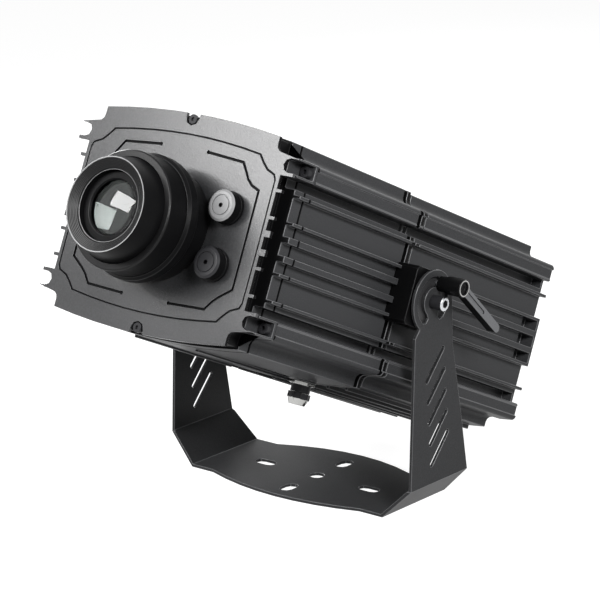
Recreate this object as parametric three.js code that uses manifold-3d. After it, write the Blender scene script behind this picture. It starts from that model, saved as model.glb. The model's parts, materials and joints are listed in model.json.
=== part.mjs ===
// Gobo projector on a bent sheet yoke, in millimetres. +Z is up, the lens looks towards -Y.
// The part stands on the yoke's base, and its origin is at the bottom centre of its box.
import * as THREE from 'three';
import { mergeVertices } from 'three/addons/utils/BufferGeometryUtils.js';
import Module from 'manifold-3d';

const wasm = await Module();
wasm.setup();

// Gaps, and how many sides round shapes get
const seatGap = 0.3;
const overrun = 2;
const wideSides = 28;
const mediumSides = 16;
const smallSides = 8;
const hexSides = 6;
const bowSteps = 4;
const cornerSteps = 3;
const slotEndSteps = 4;
const cavitySteps = 1;
const quarterTurn = Math.PI / 2;
const halfTurn = Math.PI;
const fullTurn = 2 * Math.PI;

// Lens barrel: lengths run forwards from the cover's face, radii outwards
const lensHeight = -2.4;
const barrelBase = {
  radius: 54.5,
  edge: 2.4,
  neckLength: 23,
  neckFootInset: 7.5,
  neckTopInset: 4.5,
  neckFlare: 2,
  drumLength: 11.5,
  bore: 33,
};
const drumBack = -(barrelBase.neckLength + barrelBase.neckFlare);
const drumFront = drumBack - barrelBase.drumLength;
const hood = {
  flareRadius: 45,
  rimInset: 4.4,
  rimWall: 1.1,
  rimChamfer: 0.5,
  length: 21,
  dishDepth: 5,
  throat: 30.3,
  ledgeDepth: 20,
  ledgeWidth: 3,
};
const barrelRing = { faceWidth: 5.5, edgeProud: 6.5, edgeLength: 21.5, coneLength: 1 };
const ringEdgePlace = drumFront - barrelRing.edgeLength;
const ringFrontPlace = ringEdgePlace - barrelRing.coneLength;
const rimPlace = ringFrontPlace - hood.length;
const ledgePlace = rimPlace + hood.ledgeDepth;
const lensRing = { thickness: 2.6, width: 7, chamfer: 1.2 };
const frontLens = { edge: 7, bulge: 5.5, steps: 3 };

// Knobs beside the lens, their lead screws and the lens carriages
const knob = {
  besideBarrel: 9.5,
  upperHeight: 22.5,
  lowerHeight: -26,
  bodyRadius: 13.6,
  flangeProud: 0.7,
  flangeThickness: 3,
  faceBevel: 1.6,
  faceInset: 2,
  length: 13.5,
  ringRadius: 8,
  ringWidth: 0.9,
  ringDepth: 0.8,
  socketRadius: 2.2,
  socketDepth: 2.5,
  boreDepth: 9,
};
const knobReach = barrelBase.radius + knob.besideBarrel;
const leadScrew = { radius: 4 };
const guideRod = { radius: 3, x: -46, z: 45 };
const carriage = {
  thickness: 8,
  ringRadius: 36,
  lensRadius: 28,
  lensEdge: 5,
  lensBulge: 4,
  railEarWidth: 25.5,
  earMargin: 6.5,
  nutArmHalfHeight: 8,
  nutArmOverlap: 12,
  focusPlace: 14,
  spacing: 36,
};
const zoomPlace = carriage.focusPlace + carriage.spacing;

// Gobo stage: bracket, ring gear with its disc, motor and pinion
const stage = {
  behindZoom: 46,
  bracketThickness: 3,
  bracketMargin: 12,
  bracketTop: 70,
  collarOuter: 33.7,
  collarWall: 3.7,
  collarLength: 8,
};
const bracketFront = zoomPlace + stage.behindZoom;
const bracketBack = bracketFront + stage.bracketThickness;
const gear = {
  module: 2,
  ringTeeth: 40,
  pinionTeeth: 8,
  thickness: 8,
  webThickness: 2,
  webBore: 27,
  addendumShare: 0.8,
  dedendumShare: 1.1,
  rootWidthShare: 0.62,
  tipWidthShare: 0.22,
};
const goboDisc = { rimWidth: 3, thickness: 1.1 };
const motor = { radius: 14, length: 24, shaft: 2.5 };

// Lamp: condenser, board, heat sink, fan and driver, one behind the other on a chassis plate
const condenser = {
  behindMotor: 0.7,
  lip: 3,
  lipDepth: 4,
  radius: 33,
  edge: 5,
  bulge: 11,
  tubeWall: 5,
  toSink: 22,
};
const tubeFront = bracketBack + seatGap + motor.length + condenser.behindMotor;
const condenserPlace = tubeFront + condenser.lipDepth;
const ledBoard = { radius: 26, thickness: 2, emitterRadius: 12, emitterRise: 1.2 };
const heatSink = {
  base: 8,
  finLength: 92,
  finThickness: 2.2,
  finCount: 13,
  finHalfHeight: 58,
  sideMargin: 6,
};
const sinkFront = condenserPlace + condenser.toSink;
const sinkBack = sinkFront + heatSink.base + heatSink.finLength;
const fan = {
  behindSink: 6,
  depth: 25,
  halfWidth: 60,
  wall: 4,
  hubRadius: 19,
  spokeWidth: 6,
  spokeThickness: 4,
  rotorDepth: 17,
  bladeCount: 7,
  tipGap: 1.5,
  bladeThickness: 2,
  bladePitch: 38,
  shaftRadius: 4,
};
const fanFront = sinkBack + fan.behindSink;
const driver = { behindFan: 19, length: 96, halfWidth: 56, height: 46, round: 4 };
const driverFront = fanFront + fan.depth + driver.behindFan;
const chassis = { beforeBracket: 6, behindDriver: 6, sideMargin: 10, thickness: 3 };
const chassisBack = driverFront + driver.length + chassis.behindDriver;

// Cross-section of the head: how far each face stands out from, or under, the one before
const sectionStep = {
  besideKnob: 31,
  crown: 6.7,
  shoulderRound: 6,
  shoulderDrop: 19.4,
  railProud: 23,
  railDrop: 21,
  railHeight: 16.1,
  lipHeight: 4.8,
  lipProud: 1.6,
  footHeight: 2.4,
  footProud: 0.8,
  footChamfer: 1.4,
  recessProud: 4,
  recessHeight: 8,
  panelProud: 15,
  finProud: 22,
};
const headTop = 95.6;
const topHalfWidth = knobReach + sectionStep.besideKnob;
const railTop = headTop - sectionStep.railDrop;
const railBottom = railTop - sectionStep.railHeight;
const railFace = topHalfWidth + sectionStep.railProud - sectionStep.lipProud;
const section = {
  top: headTop,
  topEdge: headTop - sectionStep.crown,
  topHalfWidth,
  shoulderFoot: topHalfWidth + sectionStep.shoulderRound,
  shoulderFootHeight: headTop - sectionStep.shoulderDrop,
  railReach: topHalfWidth + sectionStep.railProud,
  railTop,
  railBottom,
  railRound: 4,
  lipBottom: railTop - sectionStep.lipHeight,
  railFace,
  footTop: railBottom + sectionStep.footHeight,
  footReach: railFace + sectionStep.footProud,
  recessReach: topHalfWidth + sectionStep.recessProud,
  recessBottom: railBottom - sectionStep.recessHeight,
  panelReach: topHalfWidth + sectionStep.panelProud,
  finReach: topHalfWidth + sectionStep.finProud,
};
const thinFin = 2.8;
const thickFin = 5.5;
// Middles of the fins over the head's middle, as shares of the panel's half height
const finHeightShares = [0.881, 0.426, 0.158];
const finThicknesses = [thinFin, thinFin, thickFin];
const fins = finHeightShares.map((share, i) => (
  { height: share * section.recessBottom, thickness: finThicknesses[i] }
));
const headWall = { side: 6, roof: 12.6, round: 8 };
const cavity = {
  halfWidth: section.recessReach - headWall.side,
  halfHeight: section.top - headWall.roof,
  round: headWall.round,
};
// The opening through the front frame and the joint flange
const port = { sideMargin: 11, roofMargin: 21.6 };
const portHalfWidth = topHalfWidth - port.sideMargin;
const portHalfHeight = section.top - port.roofMargin;

// Front cover
const coverSize = {
  sideProud: 10.5,
  earInset: 0.5,
  earDrop: 1.4,
  earFoot: 1,
  pocketInset: 2,
  pocketLength: 12,
  toothInset: 7,
  notchDepth: 10.6,
};
const cover = {
  thickness: 3.5,
  sideReach: topHalfWidth + coverSize.sideProud,
  earTip: section.railReach - coverSize.earInset,
  earTipHeight: railTop - coverSize.earDrop,
  earBottom: railBottom - coverSize.earFoot,
  pocketTop: railTop - coverSize.pocketInset,
  pocketBottom: railBottom + coverSize.pocketInset,
  pocketEnd: section.railReach - coverSize.pocketLength,
  toothReach: section.railReach - coverSize.toothInset,
  notchWidth: 14.6,
  notchFloor: section.top - coverSize.notchDepth,
  grooveDepth: 1.6,
  grooveWidth: 2.2,
  grooveEndRadius: 1.7,
  lineWidth: 1.3,
  lineDepth: 1,
};
// The line round the middle field, a quarter from the top centre down to the side,
// as shares of the cover's side reach and of the head's top
const fieldTopShare = 0.81;
const fieldLineShares = [[0.758, 0.747], [0.81, 0.683], [0.863, 0.629], [0.943, 0.594], [0.962, 0.55]];
const fieldSideShare = 0.967;
// The bracket groove on one side, from its top end round to its bottom end, as the same shares
const bracketGrooveShares = [
  [0.246, 0.683], [0.616, 0.652], [0.668, 0.575], [0.706, 0.513], [0.758, 0.466], [0.834, 0.434],
  [0.834, -0.45], [0.758, -0.507], [0.716, -0.539], [0.668, -0.586], [0.611, -0.664], [0.246, -0.68],
];
// How sharp a corner of a drawn line may be before its mitre is held back
const mitreShare = 0.4;

// Front frame behind the cover
const frame = {
  back: 32,
  rimLength: 13.2,
  neckProud: 1,
  neckTopDrop: 2,
  blockGap: 2.5,
  pocketFloor: 3.5,
};
const frameFront = cover.thickness + seatGap;
const frameNeckReach = topHalfWidth + frame.neckProud;
const frameNeckBack = frame.back - frame.rimLength;
const framePocketBack = frame.back - frame.pocketFloor;

// Head: every place along it is measured back from the front cover's face
const head = { tilt: 24.27, pivotPlace: 212.5, seamBeforePivot: 22 };

// Housings along the head
const seam = {
  frontGap: 1.5,
  gasketInset: 2.5,
  gasketThickness: 0.9,
  jointGap: 5,
  flangeThickness: 5,
  rearGap: 1.5,
};
const frontHousing = { front: frame.back + seam.frontGap, back: head.pivotPlace - head.seamBeforePivot };
const flangeFront = frontHousing.back + seam.jointGap;
const flangeBack = flangeFront + seam.flangeThickness;
const jointFlange = { front: flangeFront, back: flangeBack, neckProud: 3, neckDrop: 6 };
const rearWall = { behindChassis: 2, round: 6, step: 11.5, drop: 2, stepRise: 0.9 };
const rearTopBack = chassisBack + rearWall.behindChassis + rearWall.round;
const rearHousing = {
  front: flangeBack + seam.rearGap,
  back: rearTopBack + rearWall.step,
  topBack: rearTopBack,
  topDrop: rearWall.drop,
  topRound: rearWall.round,
  stepHeight: railTop + rearWall.stepRise,
};
const glandPad = { radius: 12.5, depth: 0.5 };
const bottomRib = { pitch: 20, countAside: 4, width: 3.2, depth: 4 };
const frontRib = { reach: 34, width: 4, depth: 2.4, margin: 10 };
const endPocket = { length: 15.5, floorInset: 15, wall: 3 };
const rearCover = {
  halfWidth: 80,
  halfHeight: 66,
  round: 8,
  thickness: 3.5,
  ledge: 6,
  panelInset: 14,
  panelDepth: 1,
};

// Tilt hardware at each side
const block = { beforePivot: 27.5, length: 54, halfHeight: 26, proud: 15.2, chamfer: 2.5, clearance: 1 };
const blockFront = head.pivotPlace - block.beforePivot;
const blockOutside = section.railReach + block.proud;
const washer = { radius: 24, thickness: 1.55 };
const armInside = blockOutside + seatGap + washer.thickness + seatGap;
const bolt = {
  headRadius: 6.4,
  headLength: 12.6,
  edge: 0.8,
  shank: 4,
  socket: 3.5,
  socketDepth: 5,
  depthInBlock: 16,
};
const lever = {
  stationAngle: 52,
  studRadius: 4,
  studDepthInBlock: 14,
  hubRadius: 8.2,
  hubFootInset: 1.2,
  hubLength: 25,
  hubFootLength: 6,
  hubFlare: 3,
  boreDepth: 16,
  armAngle: -42.8,
  armLength: 74.5,
  armWidth: 9,
  armTipWidth: 8,
  armThickness: 9,
  armInset: 0.8,
  grooveShare: 0.58,
  grooveWidth: 2.4,
  grooveDepth: 1.2,
  capRadius: 5.2,
  capThickness: 1.6,
  capPocket: 3,
};

// Yoke: a U bent from sheet, with a bowed base and round arm heads.
// Drops are measured down from the pivot, the rest from the yoke's middle and underside
const pivot = { y: -13.1, z: 195.5 };
const yoke = {
  sheet: 3,
  bendRise: 28.2,
  cornerDepth: 47,
  bowInset: 25.15,
  frontBow: 63,
  rearBow: 70,
  footInset: 4.7,
  armFrontWaist: 38.5,
  armFrontWaistDrop: 28.5,
  armRearWaist: 31,
  armRearWaistDrop: 109.5,
  armRearNeck: 17.4,
  armRearNeckDrop: 46.5,
  headRadius: 28.3,
  centreHole: 7,
  sideHoleReach: 60,
  sideHoleLength: 22,
  endHoleReach: 41,
  endHoleLength: 20,
  holeWidth: 12,
};
const armOutside = armInside + yoke.sheet;
const bendFoot = armOutside - yoke.bendRise;
const bowStart = bendFoot - yoke.bowInset;
const armFootDepth = yoke.cornerDepth - yoke.footInset;

// Clamp slot round the pivot, and the slanted vent slots under it
const clampSlot = { radius: 17.5, width: 9.5, startAngle: -50, endAngle: 228.6, steps: 18 };
const ventSlot = {
  count: 5,
  width: 4.5,
  length: 38.6,
  slope: 47.4,
  topShift: 4,
  stepY: 2.1,
  topDrop: 58.2,
  bottomRise: 30.3,
};
const ventTop = pivot.z - ventSlot.topDrop;
const ventStep = (ventTop - yoke.bendRise - ventSlot.bottomRise) / (ventSlot.count - 1);

// Screws: a cap head with a hexagon socket on a plain shank
const cornerScrew = {
  inset: 6.4,
  head: 5,
  headLength: 6,
  shank: 3,
  shankLength: 14,
  socket: 2.5,
  socketDepth: 3,
};
const cornerScrewPlace = { x: section.railReach - cornerScrew.inset, z: (railTop + railBottom) / 2 };
const coverScrew = {
  inset: 5,
  head: 4.3,
  headLength: 3.2,
  shank: 2.2,
  shankLength: 10,
  socket: 1.9,
  socketDepth: 1.8,
};
const coverScrewHeight = section.top - coverScrew.inset;
const rearScrew = {
  inset: 8,
  head: 4,
  headLength: 2.6,
  shank: 2,
  shankLength: 7,
  socket: 1.6,
  socketDepth: 1.5,
};
const rearScrewPlace = {
  x: rearCover.halfWidth - rearScrew.inset,
  z: rearCover.halfHeight - rearScrew.inset,
};

// Cable gland under the front housing, before its rear seam
const gland = {
  beforeSeam: 13,
  x: 50,
  thread: 7.8,
  hexRadius: 11.5,
  hexThickness: 2.6,
  collarRadius: 8.8,
  collarLength: 7,
  nutRadius: 9.4,
  nutLength: 5.4,
  domeInset: 2.2,
  domeLength: 5.4,
  mouthRadius: 4.6,
  mouthDepth: 16,
  nutRibs: 8,
  nutRibRadius: 0.8,
};
const glandPlace = frontHousing.back - gland.beforeSeam;

// Surface finishes
function finish(color, roughness, metalness) {
  return new THREE.MeshStandardMaterial({ color, roughness, metalness });
}
const finishes = {
  powder: finish(0x1d1e20, 0.62, 0.25),
  coverPowder: finish(0x2a2b2d, 0.6, 0.25),
  satinBlack: finish(0x101113, 0.4, 0.35),
  rubber: finish(0x0b0b0c, 0.9, 0),
  steel: finish(0xb9bcc0, 0.28, 1),
  nickel: finish(0xc9ccd0, 0.2, 1),
  blackSteel: finish(0x17181a, 0.42, 0.7),
  castGrey: finish(0x55585b, 0.5, 0.6),
  aluminium: finish(0xa7abaf, 0.4, 0.9),
  glass: finish(0x9fb3ac, 0.05, 0),
  board: finish(0xe7e5da, 0.5, 0.1),
  plastic: finish(0x202225, 0.55, 0),
  brass: finish(0xb48a3c, 0.35, 1),
};

// Solids: from geometry to a closed body and back
function solidOf(geometry) {
  const bare = geometry.clone();
  bare.deleteAttribute('normal');
  bare.deleteAttribute('uv');
  const merged = mergeVertices(bare);
  const source = merged.index.array;
  const kept = [];
  for (let i = 0; i < source.length; i += 3) {
    const [a, b, c] = [source[i], source[i + 1], source[i + 2]];
    if (a !== b && b !== c && c !== a) {
      kept.push(a, b, c);
    }
  }
  const vertProperties = new Float32Array(merged.attributes.position.array);
  if (signedVolume(vertProperties, kept) < 0) {
    kept.reverse();
  }
  const triVerts = new Uint32Array(kept);
  return new wasm.Manifold(new wasm.Mesh({ numProp: 3, vertProperties, triVerts }));
}

function signedVolume(places, triangles) {
  const corner = (i) => new THREE.Vector3().fromArray(places, triangles[i] * 3);
  let total = 0;
  for (let i = 0; i < triangles.length; i += 3) {
    total += corner(i).dot(corner(i + 1).cross(corner(i + 2)));
  }
  return total;
}

function geometryOf(solid) {
  const mesh = solid.getMesh();
  const geometry = new THREE.BufferGeometry();
  const places = new Float32Array(mesh.numVert * 3);
  for (let i = 0; i < mesh.numVert; i += 1) {
    for (let k = 0; k < 3; k += 1) {
      places[i * 3 + k] = mesh.vertProperties[i * mesh.numProp + k];
    }
  }
  geometry.setAttribute('position', new THREE.BufferAttribute(places, 3));
  geometry.setIndex(new THREE.BufferAttribute(new Uint32Array(mesh.triVerts), 1));
  return geometry;
}

function place(parent, name, solid, material) {
  const mesh = new THREE.Mesh(geometryOf(solid), material);
  mesh.name = name;
  parent.add(mesh);
  return mesh;
}

// Unit axes and the three ways an outline is drawn out into a prism
const alongX = new THREE.Vector3(1, 0, 0);
const alongY = new THREE.Vector3(0, 1, 0);
const alongZ = new THREE.Vector3(0, 0, 1);

function extruded(shape, depth) {
  return new THREE.ExtrudeGeometry(shape, { depth, bevelEnabled: false, curveSegments: mediumSides / 2 });
}

function prismX(shape, x0, x1) {
  const geometry = extruded(shape, x1 - x0);
  geometry.applyMatrix4(new THREE.Matrix4().makeBasis(alongY, alongZ, alongX));
  return solidOf(geometry.translate(x0, 0, 0));
}

function prismY(shape, y0, y1) {
  const geometry = extruded(shape, y1 - y0);
  geometry.applyMatrix4(new THREE.Matrix4().makeBasis(alongX, alongZ, alongY.clone().negate()));
  return solidOf(geometry.translate(0, y1, 0));
}

function prismZ(shape, z0, z1) {
  return solidOf(extruded(shape, z1 - z0).translate(0, 0, z0));
}

function box(x0, x1, y0, y1, z0, z1) {
  const geometry = new THREE.BoxGeometry(x1 - x0, y1 - y0, z1 - z0);
  return solidOf(geometry.translate((x0 + x1) / 2, (y0 + y1) / 2, (z0 + z1) / 2));
}

// A profile of [radius, place along Y] turned about a line along Y
function turned(profile, sides, x = 0, z = 0) {
  const points = profile.map(([radius, y]) => new THREE.Vector2(radius, y));
  return solidOf(new THREE.LatheGeometry(points, sides).translate(x, 0, z));
}

function closedTurned(profile, sides, x = 0, z = 0) {
  return turned([...profile, profile[0]], sides, x, z);
}

function rod(radius, y0, y1, sides, x = 0, z = 0) {
  return turned([[0, y0], [radius, y0], [radius, y1], [0, y1]], sides, x, z);
}

function rodX(radius, x0, x1, sides, y, z) {
  const geometry = new THREE.CylinderGeometry(radius, radius, x1 - x0, sides);
  return solidOf(geometry.rotateZ(quarterTurn).translate((x0 + x1) / 2, y, z));
}

function rodZ(radius, z0, z1, sides, x, y) {
  const geometry = new THREE.CylinderGeometry(radius, radius, z1 - z0, sides);
  return solidOf(geometry.rotateX(quarterTurn).translate(x, y, (z0 + z1) / 2));
}

function joined(solids) {
  return solids.reduce((whole, next) => whole.add(next));
}

function cut(solid, cutters) {
  return cutters.reduce((whole, next) => whole.subtract(next), solid);
}

function mirrorX(solid) {
  const geometry = geometryOf(solid);
  geometry.scale(-1, 1, 1);
  return solidOf(geometry);
}

function shapeOf(points) {
  return new THREE.Shape(points.map(([a, b]) => new THREE.Vector2(a, b)));
}

// Outline helpers
function arcPoints(cx, cy, radius, from, to, steps) {
  return Array.from({ length: steps + 1 }, (_, i) => {
    const angle = from + ((to - from) * i) / steps;
    return [cx + radius * Math.cos(angle), cy + radius * Math.sin(angle)];
  });
}

function roundedRectangle(halfWidth, halfHeight, round, steps = cornerSteps) {
  const corners = [[1, 1, 0], [-1, 1, 1], [-1, -1, 2], [1, -1, 3]];
  return corners.flatMap(([sx, sy, quarter]) => arcPoints(
    sx * (halfWidth - round),
    sy * (halfHeight - round),
    round,
    quarter * quarterTurn,
    (quarter + 1) * quarterTurn,
    steps,
  ));
}

// A slot with round ends, of a given length and width, centred and turned in its plane
function slotOutline(length, width, angle, cx, cy) {
  const reach = (length - width) / 2;
  const dx = reach * Math.cos(angle);
  const dy = reach * Math.sin(angle);
  return [
    ...arcPoints(cx + dx, cy + dy, width / 2, angle - quarterTurn, angle + quarterTurn, slotEndSteps),
    ...arcPoints(cx - dx, cy - dy, width / 2, angle + quarterTurn, angle + 3 * quarterTurn, slotEndSteps),
  ];
}

// The outline of a line drawn with a pen of the given width
function strokeOutline(points, width) {
  const side = (sign) => points.map(([x, y], i) => {
    const before = points[Math.max(i - 1, 0)];
    const after = points[Math.min(i + 1, points.length - 1)];
    const incoming = new THREE.Vector2(x - before[0], y - before[1]).normalize();
    const outgoing = new THREE.Vector2(after[0] - x, after[1] - y).normalize();
    const first = i === 0 ? outgoing : incoming;
    const second = i === points.length - 1 ? incoming : outgoing;
    const normal = new THREE.Vector2(-first.y - second.y, first.x + second.x).normalize();
    const mitre = normal.dot(new THREE.Vector2(-first.y, first.x));
    const reach = (sign * width) / 2 / Math.max(mitre, mitreShare);
    return [x + normal.x * reach, y + normal.y * reach];
  });
  return [...side(-1), ...side(1).reverse()];
}

// Mirrors a right-hand upper quarter outline into all four quarters
function fourQuarters(quarter) {
  const lowerRight = quarter.map(([x, z]) => [x, -z]).reverse();
  const lowerLeft = quarter.map(([x, z]) => [-x, -z]);
  const upperLeft = quarter.map(([x, z]) => [-x, z]).reverse();
  return [...quarter, ...lowerRight, ...lowerLeft, ...upperLeft].filter(([x, z], i, all) => {
    const [px, pz] = all[(i + all.length - 1) % all.length];
    return Math.hypot(x - px, z - pz) > 0;
  });
}

function bowedTop(top, edge, halfWidth) {
  return Array.from({ length: bowSteps + 1 }, (_, i) => {
    const share = i / bowSteps;
    return [halfWidth * share, top - (top - edge) * share * share];
  });
}

function shoulder(inset = 0) {
  const round = section.shoulderFoot - section.topHalfWidth;
  const x = section.shoulderFoot - inset;
  const z = section.shoulderFootHeight + round - inset;
  return arcPoints(x, z, round, halfTurn, halfTurn + quarterTurn, cornerSteps);
}

// The whole cross-section with its rails and fins
function sectionOutline(topDrop) {
  const quarter = [
    ...bowedTop(section.top - topDrop, section.topEdge - topDrop, section.topHalfWidth),
    ...shoulder(),
    ...arcPoints(
      section.railReach - section.railRound,
      section.railTop - section.railRound,
      section.railRound,
      quarterTurn,
      0,
      cornerSteps,
    ),
    [section.railReach, section.lipBottom],
    [section.railFace, section.lipBottom],
    [section.railFace, section.footTop],
    [section.footReach, section.railBottom + sectionStep.footChamfer],
    [section.footReach - sectionStep.footChamfer, section.railBottom],
    [section.recessReach, section.railBottom],
    [section.recessReach, section.recessBottom],
    [section.panelReach, section.recessBottom],
  ];
  for (const { height, thickness } of fins) {
    quarter.push([section.panelReach, height + thickness / 2]);
    quarter.push([section.finReach, height + thickness / 2]);
    quarter.push([section.finReach, height - thickness / 2]);
    quarter.push([section.panelReach, height - thickness / 2]);
  }
  return fourQuarters(quarter);
}

// The same section without rails and fins, for necks inside the seams
function neckOutline(reach, drop) {
  const quarter = [
    ...bowedTop(section.top - drop, section.topEdge - drop, section.topHalfWidth - drop),
    ...shoulder(drop),
    [reach, section.shoulderFootHeight - drop],
  ];
  return fourQuarters(quarter);
}

// Two places in rising order
function ordered(a, b) {
  return a < b ? [a, b] : [b, a];
}

function cavityPrism(halfWidth, halfHeight, y0, y1) {
  return prismY(shapeOf(roundedRectangle(halfWidth, halfHeight, cavity.round, cavitySteps)), y0, y1);
}

// A screw along Y: its head starts at y and its shank runs on towards +Y
function capScrew(size, y, x, z, towards) {
  const at = (along) => y + towards * along;
  const neck = at(size.headLength);
  const tip = at(size.headLength + size.shankLength);
  const body = turned([
    [0, at(0)], [size.head, at(0)], [size.head, neck], [size.shank, neck], [size.shank, tip], [0, tip],
  ], smallSides, x, z);
  const [low, high] = ordered(at(-overrun), at(size.socketDepth));
  return body.subtract(rod(size.socket, low, high, hexSides, x, z));
}

// Yoke
function makeYoke() {
  const fold = yoke.sheet * Math.tan(halfTurn / 8);
  const top = pivot.z + yoke.headRadius;
  const outer = [[bendFoot, 0], [armOutside, yoke.bendRise], [armOutside, top + overrun]];
  const inner = [
    [armInside, top + overrun],
    [armInside, yoke.bendRise + fold],
    [bendFoot - fold, yoke.sheet],
  ];
  const half = [...outer, ...inner];
  const profile = [...half, ...half.map(([x, z]) => [-x, z]).reverse()];
  const depth = yoke.rearBow + overrun;
  const sheet = prismY(shapeOf(profile), -depth, depth);

  const bow = (depthAtMiddle) => Array.from({ length: 2 * bowSteps + 1 }, (_, i) => {
    const share = (i - bowSteps) / bowSteps;
    const x = -share * bowStart;
    return [x, yoke.cornerDepth + (depthAtMiddle - yoke.cornerDepth) * (1 - share * share)];
  });
  const rear = bow(yoke.rearBow);
  const front = bow(yoke.frontBow).map(([x, y]) => [-x, -y]);
  const armEdge = armOutside + overrun;
  const footDepth = armFootDepth;
  const plan = [
    [armEdge, -footDepth], [armEdge, footDepth], [bendFoot, yoke.cornerDepth],
    ...rear,
    [-bendFoot, yoke.cornerDepth], [-armEdge, footDepth],
    [-armEdge, -footDepth], [-bendFoot, -yoke.cornerDepth],
    ...front,
    [bendFoot, -yoke.cornerDepth],
  ];
  const planned = sheet.intersect(prismZ(shapeOf(plan), -overrun, top + overrun));

  const headFront = Math.atan2(-yoke.armFrontWaistDrop, -yoke.armFrontWaist - pivot.y);
  const neckRadius = Math.hypot(yoke.armRearNeck - pivot.y, yoke.armRearNeckDrop);
  const rearTangent = Math.atan2(-yoke.armRearNeckDrop, yoke.armRearNeck - pivot.y)
    + Math.acos(yoke.headRadius / neckRadius);
  const side = [
    [-depth, -overrun], [depth, -overrun], [depth, yoke.bendRise], [footDepth, yoke.bendRise],
    [yoke.armRearWaist, pivot.z - yoke.armRearWaistDrop],
    [yoke.armRearNeck, pivot.z - yoke.armRearNeckDrop],
    ...arcPoints(pivot.y, pivot.z, yoke.headRadius, rearTangent, headFront + fullTurn, clampSlot.steps),
    [-yoke.armFrontWaist, pivot.z - yoke.armFrontWaistDrop],
    [-footDepth, yoke.bendRise], [-depth, yoke.bendRise],
  ];
  const bent = planned.intersect(prismX(shapeOf(side), -armEdge, armEdge));

  const through = (outline) => prismX(shapeOf(outline), -armEdge, armEdge);
  const arc = (radius, from, to, steps) => arcPoints(pivot.y, pivot.z, radius, from, to, steps);
  const [from, to] = [clampSlot.startAngle, clampSlot.endAngle].map(THREE.MathUtils.degToRad);
  const endCentre = (angle) => [
    pivot.y + clampSlot.radius * Math.cos(angle),
    pivot.z + clampSlot.radius * Math.sin(angle),
  ];
  const slotHalf = clampSlot.width / 2;
  const ring = [
    ...arc(clampSlot.radius + slotHalf, from, to, clampSlot.steps),
    ...arcPoints(...endCentre(to), slotHalf, to, to + halfTurn, cornerSteps).slice(1),
    ...arc(clampSlot.radius - slotHalf, to, from, clampSlot.steps).slice(1),
    ...arcPoints(...endCentre(from), slotHalf, from - halfTurn, from, cornerSteps).slice(1, -1),
  ];
  const cutters = [through(ring), through(arc(bolt.shank + seatGap, 0, fullTurn, mediumSides).slice(1))];
  const slope = THREE.MathUtils.degToRad(ventSlot.slope);
  for (let i = 0; i < ventSlot.count; i += 1) {
    const y = pivot.y + ventSlot.topShift + i * ventSlot.stepY;
    const z = ventTop - i * ventStep;
    cutters.push(through(slotOutline(ventSlot.length, ventSlot.width, slope, y, z)));
  }
  const down = (outline) => prismZ(shapeOf(outline), -overrun, yoke.sheet + overrun);
  cutters.push(down(arcPoints(0, 0, yoke.centreHole, 0, fullTurn, mediumSides).slice(1)));
  for (const sign of [-1, 1]) {
    cutters.push(down(slotOutline(yoke.sideHoleLength, yoke.holeWidth, 0, sign * yoke.sideHoleReach, 0)));
    cutters.push(down(
      slotOutline(yoke.endHoleLength, yoke.holeWidth, quarterTurn, 0, sign * yoke.endHoleReach),
    ));
  }
  return cut(bent, cutters);
}

// Front cover: bowed plate with ears, screw pockets, teeth in line with the fins and its grooves
function coverOutline() {
  const quarter = [
    ...bowedTop(section.top, section.topEdge, section.topHalfWidth),
    ...shoulder(),
    [cover.earTip, cover.earTipHeight],
    [section.railReach, cover.pocketTop],
    [section.railReach, cover.earBottom],
    [cover.sideReach, cover.earBottom],
  ];
  for (const { height, thickness } of fins) {
    quarter.push([cover.sideReach, height + thickness / 2]);
    quarter.push([cover.toothReach, height + thickness / 2]);
    quarter.push([cover.toothReach, height - thickness / 2]);
    quarter.push([cover.sideReach, height - thickness / 2]);
  }
  return fourQuarters(quarter);
}

// The thin line round the middle field
function fieldLineCutter() {
  const corners = fieldLineShares.map(([x, z]) => [x * cover.sideReach, z * section.top]);
  const [[cornerX, cornerZ], ...rest] = corners;
  const quarter = [...bowedTop(fieldTopShare * section.top, cornerZ, cornerX), ...rest];
  const below = quarter.map(([x, z]) => [x, -z]).reverse();
  const rightHalf = [...quarter, [fieldSideShare * cover.sideReach, 0], ...below];
  const loop = [...rightHalf, ...rightHalf.map(([x, z]) => [-x, z]).reverse().slice(1, -1)];
  const grown = (by) => loop.map(([x, z]) => [x + Math.sign(x) * by, z + Math.sign(z) * by]);
  const band = prismY(shapeOf(grown(cover.lineWidth / 2)), -overrun, cover.lineDepth);
  const field = prismY(shapeOf(grown(-cover.lineWidth / 2)), -2 * overrun, cover.lineDepth + overrun);
  return band.subtract(field);
}

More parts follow.
